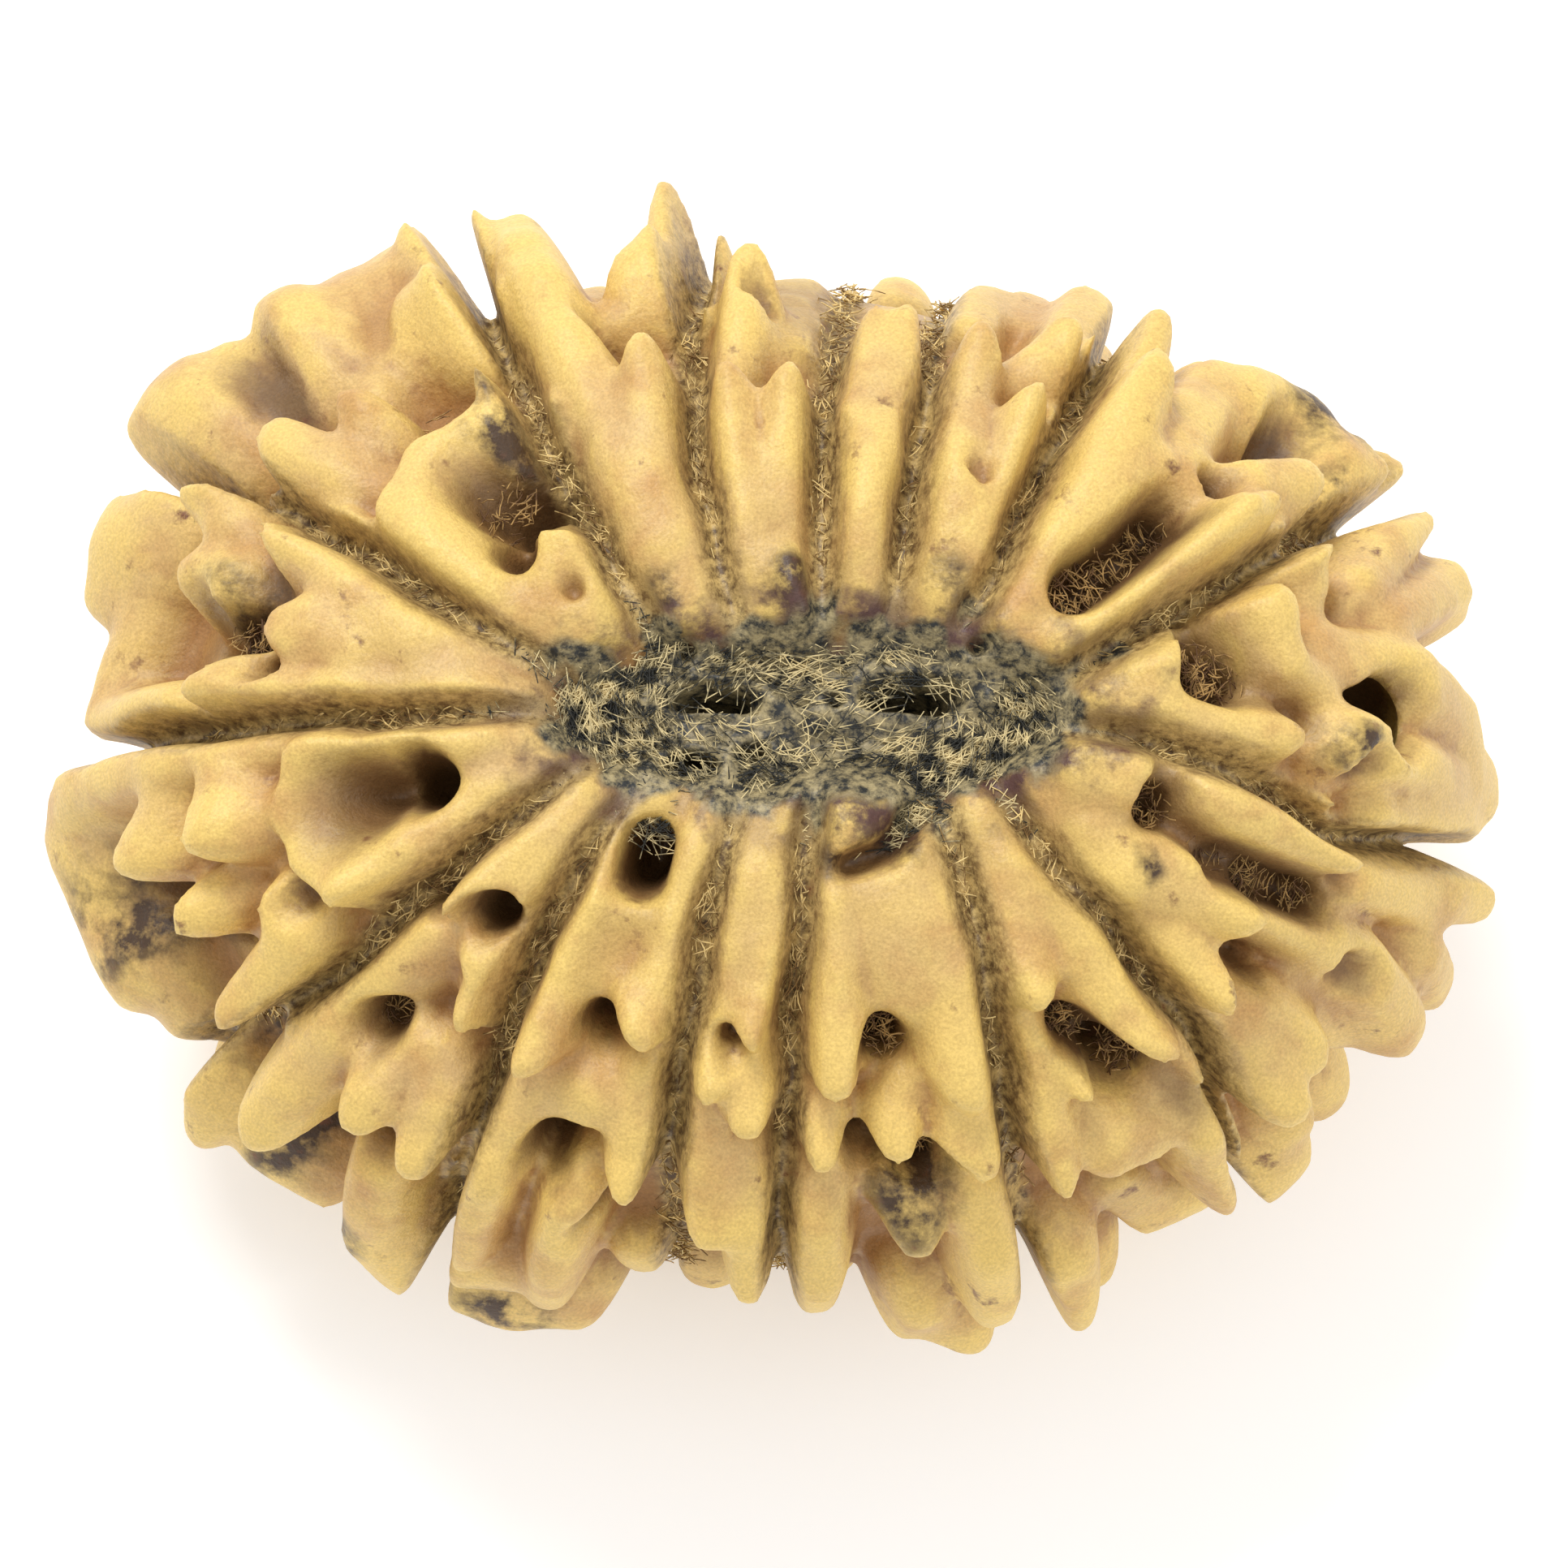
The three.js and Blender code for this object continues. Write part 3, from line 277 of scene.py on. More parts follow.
     "pits": [[0.55, 1.4, [334.4, 25]], [0.5, 1.4, [331.5, 37], [333.8, 45.3], [336, 55.5]],
              [0.4, 1.0, [325, 54]]]},
]

# %% [markdown]
# The finest valleys and pin holes between the knobs were too small for the solid. They only take stone away,
# so the bead stays within the solid's box.

# %% Fine valleys and pin holes, as radius, depth and places in turn and tilt
FINE_PITS = [
    [0.6, 1.2, [194, 78], [199, 74], [203, 70]],
    [0.45, 0.6, [19, 29], [10, 31], [2, 34], [358.5, 41]],
    [0.5, 0.6, [125.5, 25], [124.3, 27.5], [124, 34.5]],
    [0.5, 0.7, [158, 46.5], [164.7, 47.3]], [0.55, 0.8, [165.5, 56.5], [169, 58.5]],
    [0.35, 0.8, [339.5, 24], [333, 28.5], [331.5, 38.5]],
    [0.4, 0.7, [340.5, 57.5]], [0.45, 0.8, [332.5, 66.5]],
    [0.35, 0.8, [321, 50]], [0.4, 0.6, [304, 47.5], [309, 52], [310.5, 61.5]], [0.35, 0.8, [243, 20]],
    [0.4, 0.7, [278, 55]], [0.4, 0.7, [286, 55]], [0.4, 0.8, [221, 34]], [0.35, 0.8, [228.5, 32.5]],
    [0.45, 0.8, [227, 75.5]]]
print("fine pits:", len(FINE_PITS))

# %% [markdown]
# Flesh once held every crest apart, so fingers lean away from the pole and hang over what lies under them. A
# height alone can't overhang. A lean that grows with the height can: each spot is moved down its rib by so
# many degrees for each millimetre that it stands, and the crests are entered that much nearer to the pole, so
# that their tips still arrive where they were measured.

# %% The place of a spot on the bead
LEAN = 3.2
LEAN_FROM = 0.8


def between(pairs, at):
    """The value at a place in a list of pairs, in a straight line between them."""
    return np.interp(at, [pair[0] for pair in pairs], [pair[1] for pair in pairs])


def place(turn, tilt, height):
    """Spots in millimetres, for arrays of turns, tilts and heights over the groove floor."""
    turn, tilt = np.radians(turn), np.radians(tilt)
    near_pole = 1 - np.sin(tilt)
    offset = np.where(tilt < math.pi / 2, near_pole, 0)
    x = (SLOT_HALF * near_pole + HALF_X * np.sin(tilt)) * np.cos(turn) + POLE_X * offset
    y = HALF_Y * np.sin(tilt) * np.sin(turn) + POLE_Y * offset
    z = HALF_Z * np.cos(tilt)
    outward = np.stack([x / HALF_X ** 2, y / HALF_Y ** 2, z / HALF_Z ** 2], axis=-1)
    outward /= np.linalg.norm(outward, axis=-1, keepdims=True)
    spots = np.stack([x, y, z + REST_DEPTH], axis=-1)
    return spots + outward * (np.asarray(height) - FLOOR_DEPTH)[..., None]


def lean_of(height):
    """The degrees of tilt by which a spot at this height hangs out."""
    return LEAN * np.maximum(np.asarray(height) - LEAN_FROM, 0)


def groove_turn(index, tilt):
    """The turn of a groove at a tilt. The hidden lower half mirrors the upper one."""
    turns = GROOVES[index % len(GROOVES)]
    lap = 0 if index < len(GROOVES) else 360
    from_pole = np.minimum(tilt, 180 - np.asarray(tilt))
    return lap + np.interp(from_pole, GROOVE_TILTS, turns)


print("groove at the waist:", groove_turn(np.arange(3)[0], 90), "spot at the pole:", place(90, 0, 0).round(2))

# %% [markdown]
# The lower side isn't in the photograph. A real bead carries the same kind of crests all round, so a rule
# with seeded draws lays chains of knobs there, from the same seed as in the solid.

# %% Chains of knobs on the lower side
LOWER_SEED = 15
DEGREES_PER_CHAIN = 13
# The tilt where a chain starts, by its turn at the waist: they start lower in front, where the bead is narrow
FIRST_TILTS = [[-15, 112], [240, 112], [252, 126], [278, 126], [288, 112], [352, 112]]
LAST_TILT = 160
STEP_TILT = 9
FIRST_SPREAD = 6
SWAY = 0.3
STEP_LEAST, STEP_SPREAD = 0.8, 0.4
KNOB_RADIUS, RADIUS_SPREAD = 0.55, 0.2
KNOB_HEIGHT, SADDLE_HEIGHT, HEIGHT_SPREAD = 1.9, 1.0, 0.5
DRAW_STEP = 48271
DRAW_RANGE = 2147483647


def draws(seed):
    """Seeded draws between 0 and 1."""
    state = seed
    while True:
        state = (state * DRAW_STEP) % DRAW_RANGE
        yield state / DRAW_RANGE


def lower_crests():
    """One chain of knobs for so many degrees of each rib's width, which sways as it runs to the pole."""
    draw = draws(LOWER_SEED)
    crests = []
    for index in range(len(RIBS)):
        width = float(groove_turn(index + 1, 90) - groove_turn(index, 90))
        chains = max(1, math.floor(width / DEGREES_PER_CHAIN + 0.5))
        for chain in range(chains):
            crest = [KNOB_RADIUS + RADIUS_SPREAD * next(draw)]
            middle = groove_turn(index, 90) + width * (chain + 0.5) / chains
            tilt = float(between(FIRST_TILTS, middle)) + FIRST_SPREAD * next(draw)
            while tilt < LAST_TILT:
                share = (chain + 0.5 + SWAY * (2 * next(draw) - 1)) / chains
                start, end = groove_turn(index, tilt), groove_turn(index + 1, tilt)
                is_knob = len(crest) % 2 == 1
                height = (KNOB_HEIGHT if is_knob else SADDLE_HEIGHT) + HEIGHT_SPREAD * (next(draw) - 0.5)
                crest.append([float(start + share * (end - start)), tilt, height])
                tilt += STEP_TILT * (STEP_LEAST + STEP_SPREAD * next(draw))
            crests.append(crest)
    return crests


def segments_of(crests):
    """Start and end spots on the floor level, start and end heights, and radius of each crest's segments."""
    rows = []
    for radius, *points in crests:
        turns, tilts, heights = np.array(points).T
        spots = place(turns, tilts - lean_of(heights), np.zeros(len(points)))
        for k in range(max(len(points) - 1, 1)):
            last = min(k + 1, len(points) - 1)
            rows.append((spots[k], spots[last], heights[k], heights[last], radius))
    return rows


CRESTS = segments_of([crest for rib in RIBS for crest in rib["crests"]] + lower_crests())
print("crest segments:", len(CRESTS))

# %% [markdown]
# The surface starts as a ball with many fine faces, and every corner is then moved to its place by the rule.
# A ball operator with so many faces is slow, so it makes a coarse one, and a plain subdivision splits its
# faces. The columns are spread so that each groove has a column of its own.

# %% The ball whose corners are moved
COLUMNS = 180
ROWS = 92
SPLITS = 2
CAP_TILT = 1.5


def bake(obj):
    """Applies the modifiers that the object has."""
    depsgraph = bpy.context.evaluated_depsgraph_get()
    mesh = bpy.data.meshes.new_from_object(obj.evaluated_get(depsgraph))
    old = obj.data
    obj.modifiers.clear()
    obj.data = mesh
    bpy.data.meshes.remove(old)


def triangles_of(mesh):
    return sum(len(polygon.vertices) - 2 for polygon in mesh.polygons)


ball = bmesh.new()
bmesh.ops.create_uvsphere(ball, u_segments=COLUMNS, v_segments=ROWS, radius=1)
ball_mesh = bpy.data.meshes.new("bead_shell")
ball.to_mesh(ball_mesh)
ball.free()
bead = bpy.data.objects.new("bead_shell", ball_mesh)
bpy.context.scene.collection.objects.link(bead)
split = bead.modifiers.new("split", "SUBSURF")
split.subdivision_type = "SIMPLE"
split.levels = split.render_levels = SPLITS
bake(bead)
corners = np.empty(len(bead.data.vertices) * 3)
bead.data.vertices.foreach_get("co", corners)
corners = corners.reshape(-1, 3)
corners /= np.linalg.norm(corners, axis=1, keepdims=True)
tilt = np.degrees(np.arccos(np.clip(corners[:, 2], -1, 1)))
tilt = np.clip(tilt, CAP_TILT, 180 - CAP_TILT)
waist = np.array([float(groove_turn(k, 90)) for k in range(len(GROOVES) + 1)])
turn_at_waist = (np.degrees(np.arctan2(corners[:, 1], corners[:, 0])) - waist[0]) % 360 + waist[0]
rib_of = np.clip(np.searchsorted(waist, turn_at_waist, side="right") - 1, 0, len(GROOVES) - 1)
share = (turn_at_waist - waist[rib_of]) / (waist[rib_of + 1] - waist[rib_of])
starts = np.empty(len(tilt))
ends = np.empty(len(tilt))
for index in range(len(GROOVES)):
    mine = rib_of == index
    starts[mine] = groove_turn(index, tilt[mine])
    ends[mine] = groove_turn(index + 1, tilt[mine])
turn = starts + share * (ends - starts)
print("corners to move:", len(tilt))

# %% [markdown]
# Where two crests meet, the stone is filled between them, as if wax had run in. A plain maximum would leave a
# sharp valley, so the heights are joined by a soft maximum, and the walls over the grooves by a soft minimum.

# %% Heights over the groove floor
FLANK_SLOPES = [[20, 2.0], [38, 3.2], [55, 4.8], [90, 5.0]]
# The flat share of a crest's top
TIP_FLAT = 0.45
BLEND = 0.13
PIT_FLOOR = 0.35
PIT_RIM = 1.3
SWELL = 0.16
SWELL_SIZE = 2.6
RIPPLE = 0.045
RIPPLE_SIZE = 0.9
GROOVE_SWAY, SWAY_SIZE = 0.16, 1.3
# The foot of a wall wanders between none and about twice this share of the groove's half width
WANDER, WANDER_SIZE = 1.3, 1.7
WALL_ROUNDING = 0.24


def wobble(spots, size, seed):
    """Smooth noise between about -1 and 1, with features of this size in millimetres."""
    shift = Vector((seed * 7.1, seed * 3.3, seed * 5.7))
    return np.fromiter((noise.noise(Vector(spot) / size + shift) for spot in spots), float, len(spots))


def nearness(spots, start, end):
    """Distance of each spot to a segment, and the share of the segment where it is nearest."""
    along = end - start
    length = float(along @ along)
    at = np.clip((spots - start) @ along / length, 0, 1) if length > 1e-9 else np.zeros(len(spots))
    return np.linalg.norm(spots - start - at[:, None] * along, axis=1), at


def soft_min(a, b, blend):
    return -blend * np.logaddexp(-a / blend, -b / blend)


floor_spots = place(turn, tilt, np.zeros(len(turn)))
ground = np.where(tilt < 90, between(UPPER_GROUND, tilt), between(LOWER_GROUND, 180 - tilt))
filled = np.full(len(turn), -1e3)
flank_slope = between(FLANK_SLOPES, np.minimum(tilt, 180 - tilt))
for start, end, start_height, end_height, radius in CRESTS:
    distance, at = nearness(floor_spots, start, end)
    ridge = start_height + at * (end_height - start_height)
    ridge -= flank_slope * (np.hypot(np.maximum(distance - TIP_FLAT * radius, 0), radius) - radius)
    filled = np.maximum(filled, ridge) + BLEND * np.log1p(np.exp(-np.abs(filled - ridge) / BLEND))
raised = np.logaddexp(ground / BLEND, (filled + between(CREST_LIFT, tilt)) / BLEND) * BLEND
swell = wobble(floor_spots, SWELL_SIZE, 1)
ripple = wobble(floor_spots, RIPPLE_SIZE, 2)
raised += SWELL * swell + RIPPLE * ripple

dent = np.zeros(len(turn))
for radius, depth, *points in [pit for rib in RIBS for pit in rib["pits"]] + FINE_PITS:
    spots = place(*np.array(points).T, np.zeros(len(points)))
    for k in range(max(len(points) - 1, 1)):
        distance, _ = nearness(floor_spots, spots[k], spots[min(k + 1, len(points) - 1)])
        fall = np.clip((distance / radius - PIT_FLOOR) / (PIT_RIM - PIT_FLOOR), 0, 1)
        dent = np.maximum(dent, depth * (1 - fall * fall * (3 - 2 * fall)))

sway = GROOVE_SWAY * wobble(floor_spots, SWAY_SIZE, 4)
to_groove = np.minimum(np.linalg.norm(place(starts, tilt, ground * 0) - floor_spots, axis=1) + sway,
                       np.linalg.norm(place(ends, tilt, ground * 0) - floor_spots, axis=1) - sway)
wander = GROOVE_HALF * WANDER * (1 + wobble(floor_spots, WANDER_SIZE, 3))
wall = GROOVE_LEVEL + between(WALL_SLOPES, np.minimum(tilt, 180 - tilt)) * np.maximum(to_groove - wander, 0)
height = soft_min(raised, np.maximum(wall, np.minimum(ground, GROOVE_LEVEL)), WALL_ROUNDING) - dent
print("heights:", height.min().round(2), "to", height.max().round(2), "mm")

# %% [markdown]
# At the upper pole the felt has holes where the strings of the fruit ran in. The mesh is fine enough there to
# press them in as dents, with a raised rim round each.

# %% Holes in the felt at the pole
# Place in x and y, half size in x and y, and depth, in millimetres
POLE_HOLES = [
    [-1.25, -0.2, 0.9, 0.34, 1.8], [0.65, -0.3, 0.3, 0.24, 1.3], [1.35, -0.15, 0.18, 0.16, 0.8],
    [2.95, -0.1, 1.0, 0.38, 2.0], [-1.7, -1.6, 0.55, 0.26, 1.2], [-0.4, -1.35, 0.36, 0.2, 1.0],
    [-1.8, 0.9, 0.2, 0.2, 0.8], [4.2, 0.85, 0.25, 0.2, 0.8]]
# A hole's wall goes from this share of its half size, over this one
HOLE_FLOOR, HOLE_WALL = 0.7, 0.5
RIM_HEIGHT, RIM_AT, RIM_WIDTH = 0.3, 1.5, 0.4
UPPER_TILT = 40
FELT_HALF_X, FELT_HALF_Y, FELT_END, FELT_FADE = 5.2, 2.1, 1.15, 0.3
# How ragged the felt's edge is, as pairs of amount and size
RAGGED = [[0.45, 1.1], [0.25, 0.45]]
FELT_LUMPS, LUMP_MIDDLE, LUMP_SIZE, SMALL_LUMP_SIZE = 0.34, 0.3, 0.6, 0.3

pole_dent = np.zeros(len(turn))
rim = np.zeros(len(turn))
upper = tilt < UPPER_TILT
for x, y, half_x, half_y, depth in POLE_HOLES:
    reach = np.hypot((floor_spots[:, 0] - x) / half_x, (floor_spots[:, 1] - y) / half_y)
    fall = np.clip((reach - HOLE_FLOOR) / HOLE_WALL, 0, 1)
    pole_dent = np.maximum(pole_dent, np.where(upper, depth * (1 - fall * fall * (3 - 2 * fall)), 0))
    rim = np.maximum(rim, np.where(upper, RIM_HEIGHT * np.exp(-((reach - RIM_AT) / RIM_WIDTH) ** 2), 0))
height += rim - pole_dent

# The felt ends in a ragged line, and it is lumpy
felt_reach = np.hypot((floor_spots[:, 0] - POLE_X) / FELT_HALF_X, (floor_spots[:, 1] - POLE_Y) / FELT_HALF_Y)
ragged = felt_reach.copy()
for seed_number, (amount, size) in enumerate(RAGGED, start=6):
    ragged += amount * wobble(floor_spots, size, seed_number)
felt = np.where(upper, np.clip((FELT_END - ragged) / FELT_FADE, 0, 1), 0)
lumps = np.abs(wobble(floor_spots, LUMP_SIZE, 8)) + 0.5 * np.abs(wobble(floor_spots, SMALL_LUMP_SIZE, 9))
height += felt * FELT_LUMPS * (lumps - LUMP_MIDDLE)

# %% [markdown]
# A spot's place follows from its turn, tilt, lean and height. The real bead is as large as the solid, so each
# of its sides is drawn in by a hair where a leaning finger would reach past the solid's box.

# %% Move the corners
BOX_MARGIN = 0.03

spots = place(turn, tilt + lean_of(height), height)
for axis in range(3):
    along = spots[:, axis]
    lowest, highest = cad_box[0][axis] / MM, cad_box[1][axis] / MM
    if lowest < -BOX_MARGIN:
        along *= np.where(along < 0, min(1, (lowest + BOX_MARGIN) / along.min()), 1)
    along *= np.where(along > 0, min(1, (highest - BOX_MARGIN) / along.max()), 1)
spots[:, 2] = np.maximum(spots[:, 2], BOX_MARGIN)
bead.data.vertices.foreach_set("co", (spots * MM).ravel())
bead.data.update()
print("moved surface:", spots.min(axis=0).round(2), spots.max(axis=0).round(2), "mm")

# %% [markdown]
# Long thin faces on the steep walls would show. A voxel remesh lays even faces over the whole shape and also
# cleans out where overhanging parts ran into each other. A little smoothing takes off its steps.

# %% Even out the faces
VOXEL = 0.14
MOST_TRIANGLES = 190000

remesh = bead.modifiers.new("even faces", "REMESH")
remesh.mode = "VOXEL"
remesh.voxel_size = VOXEL * MM
smooth = bead.modifiers.new("smooth", "SMOOTH")
smooth.factor = 0.5
smooth.iterations = 8
bake(bead)
decimate = bead.modifiers.new("fewer faces", "DECIMATE")
decimate.ratio = min(1.0, MOST_TRIANGLES / triangles_of(bead.data))
bake(bead)
print("bead triangles:", triangles_of(bead.data))

# %% [markdown]
# Behind the largest hole the stone is hollow, and one dark seed lies in it. The chamber is cut as the solid
# has it, with an egg-shaped cutter that isn't kept.

# %% Cut the chamber and make the seed
CHAMBER = dict(turn=0.8, tilt=57, height=-0.4, along=1.7, across=1.25, inward=1.7)
SEED = dict(turn=0.8, tilt=57, height=-0.85, along=1.3, across=0.85, inward=0.85)


def egg(name, turn, tilt, height, along, across, inward):
    """An egg-shaped piece that lies along its rib."""
    spot = Vector(place(turn, tilt, height))
    outward = (Vector(place(turn, tilt, height + 1)) - spot).normalized()
    lengthwise = (Vector(place(turn, tilt + 1, height)) - spot).normalized()
    sideways = lengthwise.cross(outward).normalized()
    turned = Matrix((sideways, lengthwise, outward)).transposed().to_4x4()
    turned.translation = spot
    form = bmesh.new()
    bmesh.ops.create_uvsphere(form, u_segments=48, v_segments=24, radius=1)
    bmesh.ops.scale(form, vec=(across, along, inward), verts=form.verts)
    bmesh.ops.transform(form, matrix=Matrix.Scale(MM, 4) @ turned, verts=form.verts)
    mesh = bpy.data.meshes.new(name)
    form.to_mesh(mesh)
    form.free()
    mesh.shade_smooth()
    obj = bpy.data.objects.new(name, mesh)
    bpy.context.scene.collection.objects.link(obj)
    return obj


cutter = egg("chamber", **CHAMBER)
cut = bead.modifiers.new("chamber", "BOOLEAN")
cut.operation = "DIFFERENCE"
cut.object = cutter
bake(bead)
bpy.data.objects.remove(cutter)
bead.data.shade_smooth()
seed = egg("seed_in_chamber", **SEED)
print("bead triangles with the chamber:", triangles_of(bead.data))

# %% [markdown]
# The colour of the stone follows its form: ochre on the crests, browner in the pits, dusty in the grooves and
# blue-grey round the pole. The pits, hollows and low parts are also darkened as painted shade, and the raised
# edges are lightened as painted light. Each corner looks up the nearest measured spot, and its height, its
# closeness to a groove and to the pole, and how deep it lies in its surroundings become attributes for the
# materials.

# %% Attributes for the materials
# Dark marks left by the flesh, as turn, tilt and radius in millimetres
MARKS = [[29, 67, 0.6], [355, 46, 0.5], [215.5, 80, 0.7], [223.5, 88, 1.1], [231, 88, 0.8], [247.5, 92, 1.1],
         [196.5, 80, 1.3], [142.5, 78, 0.6], [124, 37, 1.0], [165.5, 49, 1.0], [286, 16, 0.7],
         [276, 15.5, 0.8],
         [323, 29, 0.4], [282.5, 60, 1.0], [37, 76, 1.1], [92, 13, 0.8], [116, 14, 0.6], [63, 14, 0.7]]
# How often the heights are averaged with their neighbours, to tell a hollow from its surroundings
HOLLOW_STEPS = 30
# What in millimetres counts as a full hollow, a full lift, a full groove and a full pit
HOLLOW_FULL, LIFT_FROM, LIFT_FULL, GROOVE_FROM, GROOVE_FULL, PIT_FULL = 0.22, -0.3, 2.4, 0.1, 0.5, 1.2

tree = kdtree.KDTree(len(spots))
for k, spot in enumerate(spots):
    tree.insert(spot, k)
tree.balance()
grid = np.empty(len(bead.data.vertices) * 3)
bead.data.vertices.foreach_get("co", grid)
grid = grid.reshape(-1, 3) / MM
nearest = np.fromiter((tree.find(Vector(spot))[1] for spot in grid), int, len(grid))


def keep(name, values):
    attribute = bead.data.attributes.new(name, "FLOAT", "POINT")
    attribute.data.foreach_set("value", np.clip(values, 0, 1).astype(np.float32))


ends_of_edges = np.empty(len(bead.data.edges) * 2, int)
bead.data.edges.foreach_get("vertices", ends_of_edges)
first, second = ends_of_edges.reshape(-1, 2).T
neighbours = np.maximum(np.bincount(ends_of_edges, minlength=len(grid)), 1)
level = height[nearest]
for _ in range(HOLLOW_STEPS):
    total = np.bincount(first, level[second], len(grid)) + np.bincount(second, level[first], len(grid))
    level = total / neighbours
hollow = level - height[nearest]
print("hollow:", np.percentile(hollow, [5, 25, 50, 75, 95]).round(2), "mm")

mark = np.zeros(len(turn))
for turn_at, tilt_at, radius in MARKS:
    distance = np.linalg.norm(floor_spots - place(turn_at, tilt_at, 0), axis=1)
    mark = np.maximum(mark, 1.3 - distance / radius)
keep("mark", mark[nearest])
# The hollow darkens the shell as painted shade, and the edge lightens it as painted light
keep("hollow", hollow / HOLLOW_FULL)
keep("edge", -hollow / HOLLOW_FULL)
keep("lift", (height[nearest] - LIFT_FROM) / LIFT_FULL)
keep("groove", 1 - (to_groove[nearest] - GROOVE_FROM) / GROOVE_FULL)
keep("pit", np.maximum(dent, pole_dent)[nearest] / PIT_FULL)
keep("felt", felt[nearest] - 1.2 * np.maximum(height[nearest], 0))
keep("stain", np.where(upper, (1.9 - felt_reach) / 1.2, 0)[nearest])
print("attributes:", [attribute.name for attribute in bead.data.attributes])

# %% [markdown]
# The stone is a hard matte shell, ochre where it stands out and browner where flesh stayed on it. The darker
# hollows, pits and low parts are partly that brown and partly painted shade, and the lighter raised edges are
# painted light. A picture laid over it would fit from one side only. So noise in the bead's own space gives the
# mottling, and the attributes say where the crests, hollows, grooves and stains are.

# %% Materials


def colour(red, green, blue):
    """A colour as seen on a screen, 0 to 255, in the linear numbers that shaders use."""
    values = [value / 255 for value in (red, green, blue)]
    linear = [value / 12.92 if value <= 0.04045 else ((value + 0.055) / 1.055) ** 2.4 for value in values]
    return linear + [1.0]


class Nodes:
    """Short calls for adding nodes to a tree."""

    def __init__(self, tree):
        self.tree = tree

    def add(self, kind, inputs=None, **settings):
        node = self.tree.nodes.new(kind)
        for key, value in settings.items():
            setattr(node, key, value)
        for key, value in (inputs or {}).items():
            if isinstance(value, bpy.types.NodeSocket):
                self.tree.links.new(value, node.inputs[key])
            else:
                node.inputs[key].default_value = value
        return node

    def link(self, output, target):
        self.tree.links.new(output, target)

    def mix(self, factor, first, second, blend="MIX"):
        node = self.add("ShaderNodeMix", data_type="RGBA", blend_type=blend)
        for socket, value in ((node.inputs[0], factor), (node.inputs[6], first), (node.inputs[7], second)):
            if isinstance(value, bpy.types.NodeSocket):
                self.tree.links.new(value, socket)
            else:
                socket.default_value = value
        return node.outputs[2]

    def noise(self, where, scale, detail, roughness):
        inputs = {"Vector": where, "Scale": scale, "Detail": detail, "Roughness": roughness}
        return self.add("ShaderNodeTexNoise", inputs).outputs["Fac"]

    def spread(self, value, low, high):
        node = self.add("ShaderNodeMapRange", {"Value": value, "From Min": low, "From Max": high})
        return node.outputs["Result"]

    def times(self, first, second):
        return self.add("ShaderNodeMath", {0: first, 1: second}, operation="MULTIPLY").outputs[0]

    def attribute(self, name):
        return self.add("ShaderNodeAttribute", attribute_name=name).outputs["Fac"]


class MaterialNodes(Nodes):
    """The same for a new material, with its shader at hand."""

    def __init__(self, name):
        self.material = bpy.data.materials.new(name)
        self.material.use_nodes = True
        super().__init__(self.material.node_tree)
        self.shader = self.tree.nodes["Principled BSDF"]


def two_tones_group():
    """Clouds of a dark and a light tone that drift into each other. The seed and all the fibre use it."""
    group = bpy.data.node_groups.new("two tones", "ShaderNodeTree")
    for name in ("Scale", "Detail", "Low", "High"):
        group.interface.new_socket(name, in_out="INPUT", socket_type="NodeSocketFloat")
    for name in ("Dark", "Light"):
        group.interface.new_socket(name, in_out="INPUT", socket_type="NodeSocketColor")
    group.interface.new_socket("Color", in_out="OUTPUT", socket_type="NodeSocketColor")
    nodes = Nodes(group)
    given = nodes.add("NodeGroupInput").outputs
    where = nodes.add("ShaderNodeTexCoord").outputs["Object"]
    cloud = nodes.noise(where, given["Scale"], given["Detail"], 0.5)
    tones = nodes.mix(nodes.spread(cloud, given["Low"], given["High"]), given["Dark"], given["Light"])
    nodes.link(tones, nodes.add("NodeGroupOutput").inputs["Color"])
    return group


TWO_TONES = two_tones_group()


def tone_material(name, dark, light, scale, detail, low, high, roughness):
    nodes = MaterialNodes(name)
    given = {"Scale": scale, "Detail": detail, "Low": low, "High": high, "Dark": dark, "Light": light}
    tones = nodes.add("ShaderNodeGroup", given, node_tree=TWO_TONES)
    nodes.link(tones.outputs["Color"], nodes.shader.inputs["Base Color"])
    nodes.shader.inputs["Roughness"].default_value = roughness
    return nodes.material


